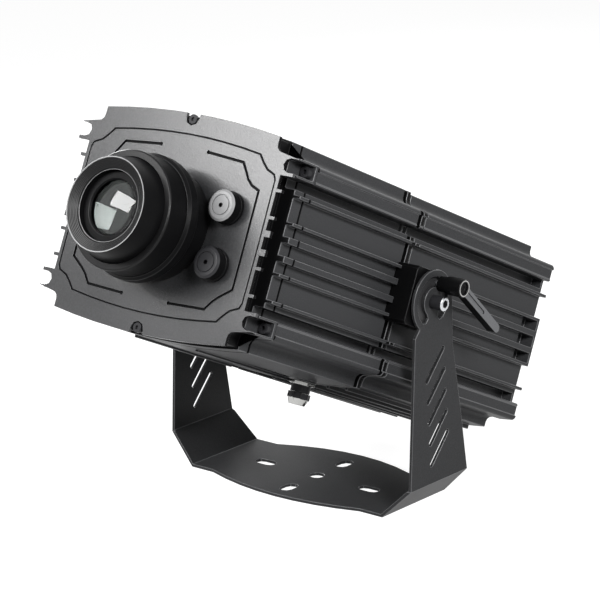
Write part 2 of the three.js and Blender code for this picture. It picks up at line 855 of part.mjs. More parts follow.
function makeFrontCover() {
  const plate = prismY(shapeOf(coverOutline()), 0, cover.thickness);
  const cutters = [rod(barrelBase.bore, -overrun, cover.thickness + overrun, wideSides, 0, lensHeight)];
  const pocketRound = (cover.pocketTop - cover.pocketBottom) / 2;
  const pocketHeight = (cover.pocketTop + cover.pocketBottom) / 2;
  for (const up of [-1, 1]) {
    const length = section.top - cover.notchFloor + overrun + cover.notchWidth;
    const middle = up * (cover.notchFloor + length / 2);
    const notch = slotOutline(length, cover.notchWidth, quarterTurn, 0, middle);
    cutters.push(prismY(shapeOf(notch), -overrun, cover.thickness + overrun));
    for (const aside of [-1, 1]) {
      const pocketLength = section.railReach - cover.pocketEnd + overrun + 2 * pocketRound;
      const pocketMiddle = aside * (cover.pocketEnd + pocketLength / 2);
      const pocket = slotOutline(pocketLength, 2 * pocketRound, 0, pocketMiddle, up * pocketHeight);
      cutters.push(prismY(shapeOf(pocket), -overrun, cover.thickness + overrun));
    }
  }
  for (const height of [knob.upperHeight, knob.lowerHeight]) {
    const hole = leadScrew.radius + seatGap;
    cutters.push(rod(hole, -overrun, cover.thickness + overrun, mediumSides, knobReach, height));
  }
  for (const aside of [-1, 1]) {
    const line = bracketGrooveShares.map(([x, z]) => [aside * x * cover.sideReach, z * section.top]);
    cutters.push(prismY(shapeOf(strokeOutline(line, cover.grooveWidth)), -overrun, cover.grooveDepth));
    for (const [x, z] of [line[0], line[line.length - 1]]) {
      cutters.push(rod(cover.grooveEndRadius, -overrun, cover.grooveDepth, smallSides, x, z));
    }
  }
  cutters.push(fieldLineCutter());
  return cut(plate, cutters);
}

// Front frame: neck, rim in line with the housing, and four screw blocks
function makeFrontFrame() {
  const neckShape = shapeOf(neckOutline(frameNeckReach, frame.neckTopDrop));
  const neck = prismY(neckShape, frameFront, frameNeckBack + overrun);
  const rim = prismY(shapeOf(sectionOutline(0)), frameNeckBack, frame.back);
  const blocks = [];
  const cutters = [cavityPrism(portHalfWidth, portHalfHeight, 0, frame.back + overrun)];
  const coverHoleBack = frameFront + coverScrew.headLength + coverScrew.shankLength;
  for (const up of [-1, 1]) {
    const [low, high] = ordered(up * section.railBottom, up * (section.railTop - seatGap));
    const [pocketLow, pocketHigh] = ordered(up * cover.pocketBottom, up * cover.pocketTop);
    for (const aside of [-1, 1]) {
      const [x0, x1] = ordered(aside * (frameNeckReach - overrun), aside * section.railReach);
      blocks.push(box(x0, x1, cover.thickness + frame.blockGap, frame.back, low, high));
      const [p0, p1] = ordered(aside * cover.pocketEnd, aside * (section.railReach + overrun));
      cutters.push(box(p0, p1, 0, framePocketBack, pocketLow, pocketHigh));
      cutters.push(cornerHole(0, frame.back + overrun, aside, up));
    }
    const coverHole = coverScrew.shank + seatGap;
    cutters.push(rod(coverHole, 0, coverHoleBack, smallSides, 0, up * coverScrewHeight));
  }
  return cut(joined([neck, rim, ...blocks]), cutters);
}

function cornerHole(y0, y1, aside, up) {
  const radius = cornerScrew.shank + seatGap;
  return rod(radius, y0, y1, smallSides, aside * cornerScrewPlace.x, up * cornerScrewPlace.z);
}

// Housings
function crownHeight(x, drop) {
  const share = x / section.topHalfWidth;
  return section.top - drop - (section.top - section.topEdge) * share * share;
}

// The flat face of the boss that the gland stands on
const glandFace = -crownHeight(gland.x - glandPad.radius, 0) - glandPad.depth;

function ribsUnder(xs, y0, y1, width, depth, drop) {
  const inside = -cavity.halfHeight - overrun;
  return xs.map((x) => box(x - width / 2, x + width / 2, y0, y1, -crownHeight(x, drop) - depth, inside));
}

function blockPads() {
  const reach = blockFront - block.clearance;
  const back = blockFront + block.length + block.clearance;
  const height = block.halfHeight + block.clearance;
  const farOut = section.railReach + overrun;
  return [
    box(section.panelReach, farOut, reach, back, -height, height),
    box(-farOut, -section.panelReach, reach, back, -height, height),
  ];
}

function makeFrontHousing() {
  const { front, back } = frontHousing;
  const shell = prismY(shapeOf(sectionOutline(0)), front, back);
  const ribFront = front + frontRib.margin;
  const ribBack = back - frontRib.margin;
  const { reach, width, depth } = frontRib;
  const ribs = ribsUnder([-reach, reach], ribFront, ribBack, width, depth, 0);
  const inside = -cavity.halfHeight - overrun;
  const pad = rodZ(glandPad.radius, glandFace, inside, mediumSides, gland.x, glandPlace);
  const bore = gland.thread + seatGap;
  const boreTop = -cavity.halfHeight + overrun;
  const glandHole = rodZ(bore, glandFace - overrun, boreTop, mediumSides, gland.x, glandPlace);
  const hollow = cavityPrism(cavity.halfWidth, cavity.halfHeight, front - overrun, back + overrun);
  const screwEnd = framePocketBack - seatGap + cornerScrew.shankLength;
  const holes = [-1, 1].flatMap((up) => (
    [-1, 1].map((aside) => cornerHole(front - overrun, screwEnd + seatGap, aside, up))
  ));
  return cut(joined([shell, ...ribs, pad]), [hollow, glandHole, ...blockPads(), ...holes]);
}

function makeGasket() {
  const from = frame.back + seatGap;
  const to = from + seam.gasketThickness;
  const reach = section.recessReach - seam.gasketInset;
  const ring = prismY(shapeOf(neckOutline(reach, seam.gasketInset)), from, to);
  return ring.subtract(cavityPrism(portHalfWidth, portHalfHeight, from - overrun, to + overrun));
}

function makeJointFlange() {
  const { front, back, neckProud, neckDrop } = jointFlange;
  const neckFront = frontHousing.back + seatGap;
  const neckBack = rearHousing.front - seatGap;
  const neck = prismY(shapeOf(neckOutline(topHalfWidth + neckProud, neckDrop)), neckFront, neckBack);
  const plate = prismY(shapeOf(sectionOutline(0)), front, back);
  const hole = cavityPrism(portHalfWidth, portHalfHeight, neckFront - overrun, neckBack + overrun);
  return cut(joined([neck, plate]), [hole, ...blockPads()]);
}

function makeRearHousing() {
  const { front, back, topBack, topDrop, topRound, stepHeight } = rearHousing;
  const shell = prismY(shapeOf(sectionOutline(topDrop)), front, back);
  const bottom = section.top - topDrop;
  const xs = Array.from({ length: 2 * bottomRib.countAside + 1 }, (_, i) => (
    (i - bottomRib.countAside) * bottomRib.pitch
  ));
  const ribs = ribsUnder(xs, front, topBack - topRound, bottomRib.width, bottomRib.depth, topDrop);
  const seat = back - rearCover.thickness - seatGap;
  const coverRound = roundedRectangle(
    rearCover.halfWidth + seatGap, rearCover.halfHeight + seatGap, rearCover.round,
  );
  const ledgeWidth = rearCover.halfWidth - rearCover.ledge;
  const ledgeHeight = rearCover.halfHeight - rearCover.ledge;
  const cutters = [
    cavityPrism(cavity.halfWidth, cavity.halfHeight, front - overrun, topBack - topRound),
    cavityPrism(ledgeWidth, ledgeHeight, topBack - 2 * topRound, back + overrun),
    prismY(shapeOf(coverRound), seat, back + overrun),
    ...blockPads(),
  ];
  for (const up of [-1, 1]) {
    const corner = [
      [back + overrun, stepHeight],
      [topBack, stepHeight],
      ...arcPoints(topBack - topRound, bottom - topRound, topRound, 0, quarterTurn, cornerSteps),
      [topBack - topRound, section.top + bottomRib.depth],
      [back + overrun, section.top + bottomRib.depth],
    ];
    const cornerShape = shapeOf(corner.map(([y, z]) => [y, up * z]));
    cutters.push(prismX(cornerShape, -section.shoulderFoot, section.shoulderFoot));
    for (const aside of [-1, 1]) {
      cutters.push(rearHole(seat - rearScrew.shankLength, back, aside, up));
    }
  }
  const [pockets, plates] = endPockets();
  return cut(joined([shell, ...ribs, ...plates]), [...cutters, ...pockets]);
}

function rearHole(y0, y1, aside, up) {
  const radius = rearScrew.shank + seatGap;
  return rod(radius, y0, y1, smallSides, aside * rearScrewPlace.x, up * rearScrewPlace.z);
}

// The pockets between the fins at the rear end of each side, and the plates that close each side
function endPockets() {
  const [, second, third] = fins;
  const gaps = [
    [third.height + third.thickness / 2, second.height - second.thickness / 2],
    [-third.height + third.thickness / 2, third.height - third.thickness / 2],
    [-second.height + second.thickness / 2, -third.height - third.thickness / 2],
  ];
  const { back } = rearHousing;
  const plateFront = back - endPocket.wall;
  const floorReach = section.railReach - endPocket.floorInset;
  const pockets = [];
  const plates = [];
  for (const aside of [-1, 1]) {
    const [x0, x1] = ordered(aside * floorReach, aside * (section.finReach + overrun));
    for (const [low, high] of gaps) {
      pockets.push(box(x0, x1, plateFront - endPocket.length, plateFront, low, high));
    }
    const [p0, p1] = ordered(aside * (section.panelReach - overrun), aside * section.finReach);
    plates.push(box(p0, p1, plateFront, back, -second.height, second.height));
    const [r0, r1] = ordered(aside * (section.recessReach - overrun), aside * section.panelReach);
    for (const up of [-1, 1]) {
      const [low, high] = ordered(up * (section.recessBottom - overrun), up * (section.railBottom + overrun));
      plates.push(box(r0, r1, plateFront, back, low, high));
    }
  }
  return [pockets, plates];
}

function makeRearCover() {
  const { back } = rearHousing;
  const outline = (inset) => shapeOf(
    roundedRectangle(rearCover.halfWidth - inset, rearCover.halfHeight - inset, rearCover.round),
  );
  const plate = prismY(outline(0), back - rearCover.thickness, back);
  const panel = prismY(outline(rearCover.panelInset), back - rearCover.panelDepth, back + overrun);
  const cutters = [panel];
  for (const up of [-1, 1]) {
    for (const aside of [-1, 1]) {
      cutters.push(rearHole(back - rearCover.thickness - overrun, back + overrun, aside, up));
    }
  }
  return cut(plate, cutters);
}

// Lens barrel
function makeBarrelBase() {
  const { radius, edge, neckLength, neckFootInset, neckTopInset, bore } = barrelBase;
  const foot = -seatGap;
  return closedTurned([
    [bore, drumFront], [radius - edge, drumFront], [radius, drumFront + edge], [radius, drumBack],
    [radius - neckTopInset, -neckLength], [radius - neckFootInset, foot], [bore, foot],
  ], wideSides, 0, lensHeight);
}

function makeBarrelRing() {
  const bore = hood.flareRadius + seatGap;
  const faceRadius = hood.flareRadius + barrelRing.faceWidth;
  const edgeRadius = hood.flareRadius + barrelRing.edgeProud;
  const back = drumFront - seatGap;
  return closedTurned([
    [bore, ringFrontPlace], [faceRadius, ringFrontPlace], [edgeRadius, ringEdgePlace], [edgeRadius, back],
    [bore, back],
  ], wideSides, 0, lensHeight);
}

function makeHood() {
  const { flareRadius, rimInset, rimWall, rimChamfer, dishDepth, throat, ledgeWidth } = hood;
  const back = drumFront - seatGap;
  const rimRadius = flareRadius - rimInset;
  const dishOuter = rimRadius - rimWall;
  const ledgeRadius = throat - ledgeWidth;
  return closedTurned([
    [dishOuter, rimPlace], [rimRadius - rimChamfer, rimPlace], [rimRadius, rimPlace + rimChamfer],
    [flareRadius, ringFrontPlace], [flareRadius, back], [ledgeRadius + rimWall, back],
    [ledgeRadius, back - rimWall], [ledgeRadius, ledgePlace], [throat, ledgePlace],
    [throat, rimPlace + dishDepth],
  ], wideSides, 0, lensHeight);
}

// Half a lens from its middle to its rim: a dome, or a flat face where the bulge is zero
function lensFace(domeRadius, rimRadius, place, bulge) {
  const steps = bulge === 0 ? 0 : frontLens.steps;
  const face = bulge === 0 ? [[0, place]] : [];
  for (let i = 0; i < steps; i += 1) {
    const share = i / steps;
    face.push([domeRadius * share, place + bulge * (1 - share * share)]);
  }
  if (bulge !== 0 && domeRadius < rimRadius) {
    face.push([domeRadius, place]);
  }
  return [...face, [rimRadius, place]];
}

function lensProfile(domeRadius, rimRadius, front, edge, bulge, backBulge) {
  return [
    ...lensFace(domeRadius, rimRadius, front, -bulge),
    ...lensFace(domeRadius, rimRadius, front + edge, backBulge).reverse(),
  ];
}

function makeFrontLens() {
  const back = ledgePlace - seatGap;
  const radius = hood.throat - seatGap;
  const dome = lensRingBore - seatGap;
  const profile = lensProfile(dome, radius, back - frontLens.edge, frontLens.edge, frontLens.bulge, 0);
  return turned(profile, wideSides, 0, lensHeight);
}

const lensRingBore = hood.throat - lensRing.width;

function makeLensRing() {
  const back = ledgePlace - 2 * seatGap - frontLens.edge;
  const front = back - lensRing.thickness;
  const reach = hood.throat - seatGap;
  return closedTurned([
    [lensRingBore + lensRing.chamfer, front], [reach, front], [reach, back], [lensRingBore, back],
    [lensRingBore, front + lensRing.chamfer],
  ], wideSides, 0, lensHeight);
}

// Knobs and lens carriages
function makeKnob(height) {
  const { bodyRadius, flangeThickness, faceBevel, length, ringRadius, ringWidth } = knob;
  const face = bodyRadius - knob.faceInset;
  const flange = bodyRadius + knob.flangeProud;
  const body = turned([
    [0, -length], [face, -length], [bodyRadius, faceBevel - length], [bodyRadius, -flangeThickness],
    [flange, -flangeThickness], [flange, -seatGap], [0, -seatGap],
  ], mediumSides, knobReach, height);
  const before = -length - overrun;
  const ringFloor = knob.ringDepth - length;
  const ring = closedTurned([
    [ringRadius, before], [ringRadius + ringWidth, before], [ringRadius + ringWidth, ringFloor],
    [ringRadius, ringFloor],
  ], mediumSides, knobReach, height);
  const socket = rod(knob.socketRadius, before, knob.socketDepth - length, hexSides, knobReach, height);
  const bore = rod(leadScrew.radius + seatGap, -knob.boreDepth, overrun, smallSides, knobReach, height);
  return cut(body, [ring, socket, bore]);
}

function makeLeadScrew(height) {
  const front = seatGap - knob.boreDepth;
  return rod(leadScrew.radius, front, bracketFront - seatGap, smallSides, knobReach, height);
}

function makeCarriage(front, height) {
  const back = front + carriage.thickness;
  const ear = guideRod.radius + carriage.earMargin;
  const earOutside = guideRod.x - ear;
  const disc = rod(carriage.ringRadius, front, back, mediumSides, 0, lensHeight);
  const ears = box(
    earOutside, earOutside + carriage.railEarWidth, front, back, -guideRod.z - ear, guideRod.z + ear,
  );
  const armStart = carriage.ringRadius - carriage.nutArmOverlap;
  const armEnd = knobReach + leadScrew.radius + carriage.earMargin;
  const armHalf = carriage.nutArmHalfHeight;
  const nutArm = box(armStart, armEnd, front, back, height - armHalf, height + armHalf);
  const through = (radius, sides, x, z) => rod(radius, front - overrun, back + overrun, sides, x, z);
  return cut(joined([disc, ears, nutArm]), [
    through(carriage.lensRadius + seatGap, mediumSides, 0, lensHeight),
    through(guideRod.radius + seatGap, smallSides, guideRod.x, guideRod.z),
    through(guideRod.radius + seatGap, smallSides, guideRod.x, -guideRod.z),
    through(leadScrew.radius + seatGap, mediumSides, knobReach, height),
  ]);
}

function makeCarriageLens(front) {
  const edgeFront = front + (carriage.thickness - carriage.lensEdge) / 2;
  const { lensRadius, lensEdge, lensBulge } = carriage;
  const profile = lensProfile(lensRadius, lensRadius, edgeFront, lensEdge, lensBulge, lensBulge);
  return turned(profile, mediumSides, 0, lensHeight);
}

function makeGuideRod(up) {
  return rod(guideRod.radius, frameFront, bracketFront - seatGap, smallSides, guideRod.x, up * guideRod.z);
}

// Gobo stage
const ringPitch = (gear.module * gear.ringTeeth) / 2;
const pinionPitch = (gear.module * gear.pinionTeeth) / 2;
const ringFront = bracketFront - seatGap - gear.thickness;

function toothedOutline(teeth, phase) {
  const pitch = (gear.module * teeth) / 2;
  const tip = pitch + gear.module * gear.addendumShare;
  const root = pitch - gear.module * gear.dedendumShare;
  const step = fullTurn / teeth;
  const outline = [];
  for (let i = 0; i < teeth; i += 1) {
    const middle = phase + i * step;
    const at = (radius, share) => [
      radius * Math.cos(middle + share * step),
      radius * Math.sin(middle + share * step),
    ];
    outline.push(at(root, -gear.rootWidthShare / 2), at(tip, -gear.tipWidthShare / 2));
    outline.push(at(tip, gear.tipWidthShare / 2), at(root, gear.rootWidthShare / 2));
  }
  return outline;
}

function makeBracket() {
  const halfWidth = knobReach + stage.bracketMargin;
  const collarFront = bracketFront - stage.collarLength + gear.webThickness;
  const collarInner = stage.collarOuter - stage.collarWall;
  const plate = box(-halfWidth, halfWidth, bracketFront, bracketBack, chassisTop + seatGap, stage.bracketTop);
  const collar = rod(stage.collarOuter, collarFront, bracketBack, wideSides, 0, lensHeight);
  const hole = rod(collarInner, collarFront - overrun, bracketBack + overrun, wideSides, 0, lensHeight);
  const shaft = motor.shaft + seatGap;
  const shaftHole = rod(shaft, bracketFront - overrun, bracketBack + overrun, smallSides, motorX, lensHeight);
  return cut(joined([plate, collar]), [hole, shaftHole]);
}

const motorX = -(ringPitch + pinionPitch);
const chassisTop = seatGap + chassis.thickness - portHalfHeight;

function makeRingGear() {
  const outline = toothedOutline(gear.ringTeeth, halfTurn).map(([x, z]) => [x, z + lensHeight]);
  const back = ringFront + gear.thickness;
  const blank = prismY(shapeOf(outline), ringFront, back);
  const boreFront = ringFront + gear.webThickness;
  const bore = rod(stage.collarOuter + seatGap, boreFront, back + overrun, wideSides, 0, lensHeight);
  const window = rod(gear.webBore, ringFront - overrun, back, wideSides, 0, lensHeight);
  return cut(blank, [bore, window]);
}

function makeGoboDisc() {
  const back = ringFront - seatGap;
  const radius = gear.webBore + goboDisc.rimWidth;
  return rod(radius, back - goboDisc.thickness, back, mediumSides, 0, lensHeight);
}

function makePinion() {
  const phase = halfTurn / gear.pinionTeeth;
  const outline = toothedOutline(gear.pinionTeeth, phase).map(([x, z]) => [x + motorX, z + lensHeight]);
  const wheel = prismY(shapeOf(outline), ringFront, ringFront + gear.thickness);
  const hole = rod(motor.shaft + seatGap, ringFront - overrun, bracketFront, smallSides, motorX, lensHeight);
  return wheel.subtract(hole);
}

function makeMotor() {
  const front = bracketBack + seatGap;
  const body = rod(motor.radius, front, front + motor.length, mediumSides, motorX, lensHeight);
  return body.add(rod(motor.shaft, ringFront, front + overrun, smallSides, motorX, lensHeight));
}

// Lamp
function makeChassis() {
  const halfWidth = portHalfWidth - chassis.sideMargin;
  const front = bracketFront - chassis.beforeBracket;
  return box(-halfWidth, halfWidth, front, chassisBack, chassisTop - chassis.thickness, chassisTop);
}

function makeCondenser() {
  const { radius, edge, bulge } = condenser;
  const profile = lensProfile(radius, radius, condenserPlace, edge, 0, bulge);
  return turned(profile, mediumSides, 0, lensHeight);
}

function makeCondenserTube() {
  const { radius, tubeWall, lip } = condenser;
  const inside = radius + seatGap;
  const lipBack = condenserPlace - seatGap;
  const back = sinkFront - seatGap;
  return closedTurned([
    [inside - lip, tubeFront], [inside + tubeWall, tubeFront], [inside + tubeWall, back],
    [inside, back], [inside, lipBack], [inside - lip, lipBack],
  ], mediumSides, 0, lensHeight);
}

function makeLedBoard() {
  const back = sinkFront - seatGap;
  const front = back - ledBoard.thickness;
  return turned([
    [0, front - ledBoard.emitterRise], [ledBoard.emitterRadius, front - ledBoard.emitterRise],
    [ledBoard.emitterRadius, front], [ledBoard.radius, front], [ledBoard.radius, back], [0, back],
  ], mediumSides, 0, lensHeight);
}

function makeHeatSink() {
  const { base, finThickness, finCount, finHalfHeight } = heatSink;
  const halfWidth = portHalfWidth - chassis.sideMargin - heatSink.sideMargin;
  const finFront = sinkFront + base - overrun;
  const plate = box(-halfWidth, halfWidth, sinkFront, sinkFront + base, chassisTop + seatGap, finHalfHeight);
  const blades = Array.from({ length: finCount }, (_, i) => {
    const x = -halfWidth + ((2 * halfWidth - finThickness) * i) / (finCount - 1);
    return box(x, x + finThickness, finFront, sinkBack, -finHalfHeight, finHalfHeight);
  });
  return joined([plate, ...blades]);
}

function makeFanFrame() {
  const { depth, halfWidth, wall, hubRadius, spokeWidth, spokeThickness, shaftRadius } = fan;
  const back = fanFront + depth;
  const bore = halfWidth - wall;
  const reach = bore + overrun;
  const block = box(-halfWidth, halfWidth, fanFront, back, chassisTop + seatGap, halfWidth);
  const tunnel = rod(bore, fanFront - overrun, back + overrun, mediumSides, 0, 0);
  const spokeFront = back - spokeThickness;
  const spokes = [
    box(-reach, reach, spokeFront, back, -spokeWidth / 2, spokeWidth / 2),
    box(-spokeWidth / 2, spokeWidth / 2, spokeFront, back, -reach, reach),
    rod(hubRadius, spokeFront, back, mediumSides, 0, 0),
  ];
  const hole = rod(shaftRadius + seatGap, fanFront, back + overrun, mediumSides, 0, 0);
  return joined([block.subtract(tunnel), ...spokes]).subtract(hole);
}

function makeFanRotor() {
  const { depth, hubRadius, spokeThickness, rotorDepth, bladeCount, bladeThickness } = fan;
  const back = fanFront + depth - spokeThickness - seatGap;
  const start = back - rotorDepth;
  const bladeMiddle = (start + back) / 2;
  const bladeTip = fan.halfWidth - fan.wall - fan.tipGap;
  const hub = rod(hubRadius, start, back, mediumSides, 0, 0);
  const shaft = rod(fan.shaftRadius, back - overrun, fanFront + depth, smallSides, 0, 0);
  const pitch = THREE.MathUtils.degToRad(fan.bladePitch);
  const chord = (rotorDepth - bladeThickness) / Math.sin(pitch);
  const blades = Array.from({ length: bladeCount }, (_, i) => {
    const length = bladeTip - hubRadius + overrun;
    const blade = new THREE.BoxGeometry(length, bladeThickness, chord);
    blade.rotateX(quarterTurn - pitch);
    blade.translate(hubRadius - overrun + length / 2, bladeMiddle, 0);
    blade.rotateY((fullTurn * i) / bladeCount);
    return solidOf(blade);
  });
  const sweep = rod(bladeTip, start, back, wideSides, 0, 0);
  return joined([hub, ...blades]).intersect(sweep).add(shaft);
}

function makeDriver() {
  const { length, halfWidth, height, round } = driver;
  const centre = chassisTop + seatGap + height / 2;
  const outline = roundedRectangle(halfWidth, height / 2, round).map(([x, z]) => [x, z + centre]);
  return prismY(shapeOf(outline), driverFront, driverFront + length);
}

// Tilt hardware, drawn for the +X side in the head's own frame with the pivot at the origin
const stationInHead = THREE.MathUtils.degToRad(lever.stationAngle + head.tilt);
const station = {
  y: clampSlot.radius * Math.cos(stationInHead),
  z: clampSlot.radius * Math.sin(stationInHead),
};

function makeBlock() {
  const inside = section.panelReach + seatGap;
  const { length, halfHeight, chamfer } = block;
  const front = -block.beforePivot;
  const back = front + length;
  const low = chamfer - halfHeight;
  const high = halfHeight - chamfer;
  const outline = [
    [front, low], [front + chamfer, -halfHeight], [back - chamfer, -halfHeight], [back, low],
    [back, high], [back - chamfer, halfHeight], [front + chamfer, halfHeight], [front, high],
  ];
  const end = blockOutside + overrun;
  const boltFloor = blockOutside - bolt.depthInBlock - seatGap;
  const studFloor = blockOutside - lever.studDepthInBlock - seatGap;
  return cut(prismX(shapeOf(outline), inside, blockOutside), [
    rodX(bolt.shank + seatGap, boltFloor, end, smallSides, 0, 0),
    rodX(lever.studRadius + seatGap, studFloor, end, smallSides, station.y, station.z),
  ]);
}

function makeWasher() {
  const from = blockOutside + seatGap;
  const to = from + washer.thickness;
  return cut(rodX(washer.radius, from, to, mediumSides, 0, 0), [
    rodX(bolt.shank + seatGap, from - overrun, to + overrun, smallSides, 0, 0),
    rodX(lever.studRadius + seatGap, from - overrun, to + overrun, smallSides, station.y, station.z),
  ]);
}

function makeBolt() {
  const { headRadius, headLength, edge, shank, socket, socketDepth, depthInBlock } = bolt;
  const foot = armOutside + seatGap;
  const tip = foot + headLength;
  const top = turned([
    [0, foot], [headRadius, foot], [headRadius, tip - edge], [headRadius - edge, tip], [0, tip],
  ], mediumSides);
  const turnedHead = geometryOf(top).rotateZ(-quarterTurn);
  const shaft = rodX(shank, blockOutside - depthInBlock, foot + overrun, smallSides, 0, 0);
  const hole = rodX(socket, tip - socketDepth, tip + overrun, hexSides, 0, 0);
  return solidOf(turnedHead).add(shaft).subtract(hole);
}

function makeStud() {
  const start = blockOutside - lever.studDepthInBlock;
  const end = armOutside + seatGap + lever.boreDepth;
  return rodX(lever.studRadius, start, end, smallSides, station.y, station.z);
}

// The lever is drawn with its hub on the stud and its arm in the world's lever direction
function makeLever() {
  const foot = armOutside + seatGap;
  const tip = foot + lever.hubLength;
  const waist = foot + lever.hubFootLength;
  const footRadius = lever.hubRadius - lever.hubFootInset;
  const hub = geometryOf(turned([
    [0, foot], [footRadius, foot], [footRadius, waist], [lever.hubRadius, waist + lever.hubFlare],
    [lever.hubRadius, tip], [0, tip],
  ], mediumSides)).rotateZ(-quarterTurn).translate(0, station.y, station.z);
  const armTop = tip - lever.armInset;
  const tipRadius = lever.armTipWidth / 2;
  const outline = [
    [0, -lever.armWidth / 2],
    ...arcPoints(lever.armLength - tipRadius, 0, tipRadius, -quarterTurn, quarterTurn, bowSteps),
    [0, lever.armWidth / 2],
  ];
  const turn = THREE.MathUtils.degToRad(lever.armAngle + head.tilt);
  const atStation = (points) => points.map(([along, across]) => [
    station.y + along * Math.cos(turn) - across * Math.sin(turn),
    station.z + along * Math.sin(turn) + across * Math.cos(turn),
  ]);
  const arm = prismX(shapeOf(atStation(outline)), armTop - lever.armThickness, armTop);
  const grooveEnd = lever.armLength * lever.grooveShare;
  const grooveLength = grooveEnd - lever.hubRadius;
  const groove = slotOutline(grooveLength, lever.grooveWidth, 0, grooveEnd - grooveLength / 2, 0);
  const grooveCut = prismX(shapeOf(atStation(groove)), armTop - lever.grooveDepth, armTop + overrun);
  const atStud = (radius, x0, x1, sides) => rodX(radius, x0, x1, sides, station.y, station.z);
  const boreEnd = foot + lever.boreDepth + seatGap;
  const bore = atStud(lever.studRadius + seatGap, foot - overrun, boreEnd, mediumSides);
  const pocket = atStud(lever.capRadius + seatGap, tip - lever.capPocket, tip + overrun, mediumSides);
  return cut(solidOf(hub).add(arm.subtract(grooveCut)), [bore, pocket]);
}

function makeLeverCap() {
  const tip = armOutside + seatGap + lever.hubLength;
  const floor = tip - lever.capPocket + seatGap;
  const { capRadius, capThickness } = lever;
  const cap = rodX(capRadius, floor, floor + capThickness, mediumSides, station.y, station.z);
  const socket = rodX(capRadius / 2, floor + capThickness / 2, tip + overrun, hexSides, station.y, station.z);
  return cap.subtract(socket);
}

// Cable gland
const glandSeat = glandFace - seatGap;
const collarEnd = glandSeat - gland.hexThickness - gland.collarLength;

function makeGlandBody() {
  const upright = (radius, z0, z1, sides) => rodZ(radius, z0, z1, sides, gland.x, glandPlace);
  const hex = upright(gland.hexRadius, glandSeat - gland.hexThickness, glandSeat, hexSides);
  const thread = upright(gland.thread, glandSeat - overrun, -cavity.halfHeight, mediumSides);
  const collar = upright(gland.collarRadius, collarEnd, glandSeat, mediumSides);
  const mouth = upright(gland.mouthRadius, collarEnd - overrun, collarEnd + gland.mouthDepth, smallSides);
  return cut(joined([hex, thread, collar]), [mouth]);
}

function makeGlandNut() {
  const top = collarEnd - seatGap;
  const domeTop = top - gland.nutLength;
  const foot = domeTop - gland.domeLength;
  const nut = closedTurned([
    [gland.mouthRadius, top], [gland.nutRadius, top], [gland.nutRadius, domeTop],
    [gland.nutRadius - gland.domeInset, foot], [gland.mouthRadius, foot],
  ], mediumSides);
  const upright = solidOf(geometryOf(nut).rotateX(quarterTurn).translate(gland.x, glandPlace, 0));
  const ribs = Array.from({ length: gland.nutRibs }, (_, i) => {
    const angle = (fullTurn * i) / gland.nutRibs;
    const x = gland.x + gland.nutRadius * Math.cos(angle);
    const y = glandPlace + gland.nutRadius * Math.sin(angle);
    return rodZ(gland.nutRibRadius, domeTop, top, hexSides, x, y);
  });
  return joined([upright, ...ribs]);
}

// Assembly
const root = new THREE.Group();
place(root, 'yoke', makeYoke(), finishes.powder);

const tilting = new THREE.Group();
tilting.position.set(0, pivot.y, pivot.z);
tilting.rotation.x = -THREE.MathUtils.degToRad(head.tilt);
root.add(tilting);

const body = new THREE.Group();
body.position.y = -head.pivotPlace;
tilting.add(body);

place(body, 'front_cover', makeFrontCover(), finishes.coverPowder);
place(body, 'front_frame', makeFrontFrame(), finishes.powder);
place(body, 'front_gasket', makeGasket(), finishes.rubber);
place(body, 'front_housing', makeFrontHousing(), finishes.powder);
place(body, 'joint_flange', makeJointFlange(), finishes.powder);
place(body, 'rear_housing', makeRearHousing(), finishes.powder);
place(body, 'rear_cover', makeRearCover(), finishes.powder);
place(body, 'barrel_base', makeBarrelBase(), finishes.satinBlack);
place(body, 'barrel_ring', makeBarrelRing(), finishes.satinBlack);
place(body, 'lens_hood', makeHood(), finishes.satinBlack);
place(body, 'lens_ring', makeLensRing(), finishes.satinBlack);
place(body, 'front_lens', makeFrontLens(), finishes.glass);

const cornerNames = [['upper', 1], ['lower', -1]];
const sideNames = [['right', 1], ['left', -1]];
const coverHead = cover.thickness - coverScrew.headLength;
const cornerHead = framePocketBack - seatGap - cornerScrew.headLength;
const rearHead = rearHousing.back + seatGap + rearScrew.headLength;
for (const [upName, up] of cornerNames) {
  const coverBolt = capScrew(coverScrew, coverHead, 0, up * coverScrewHeight, 1);
  place(body, `cover_screw_${upName}`, coverBolt, finishes.blackSteel);
  for (const [sideName, aside] of sideNames) {
    const end = `${upName}_${sideName}`;
    const corner = capScrew(cornerScrew, cornerHead, aside * cornerScrewPlace.x, up * cornerScrewPlace.z, 1);
    place(body, `corner_screw_${end}`, corner, finishes.blackSteel);
    const rear = capScrew(rearScrew, rearHead, aside * rearScrewPlace.x, up * rearScrewPlace.z, -1);
    place(body, `rear_screw_${end}`, rear, finishes.blackSteel);
  }
}

place(body, 'focus_knob', makeKnob(knob.upperHeight), finishes.satinBlack);
place(body, 'zoom_knob', makeKnob(knob.lowerHeight), finishes.satinBlack);
place(body, 'focus_screw', makeLeadScrew(knob.upperHeight), finishes.steel);
place(body, 'zoom_screw', makeLeadScrew(knob.lowerHeight), finishes.steel);
place(body, 'focus_carriage', makeCarriage(carriage.focusPlace, knob.upperHeight), finishes.aluminium);
place(body, 'zoom_carriage', makeCarriage(zoomPlace, knob.lowerHeight), finishes.aluminium);
place(body, 'focus_lens', makeCarriageLens(carriage.focusPlace), finishes.glass);
place(body, 'zoom_lens', makeCarriageLens(zoomPlace), finishes.glass);
place(body, 'guide_rod_upper', makeGuideRod(1), finishes.steel);
place(body, 'guide_rod_lower', makeGuideRod(-1), finishes.steel);

place(body, 'gobo_bracket', makeBracket(), finishes.aluminium);
place(body, 'gobo_ring_gear', makeRingGear(), finishes.brass);
place(body, 'gobo_disc', makeGoboDisc(), finishes.glass);
place(body, 'gobo_motor', makeMotor(), finishes.blackSteel);
place(body, 'motor_pinion', makePinion(), finishes.brass);

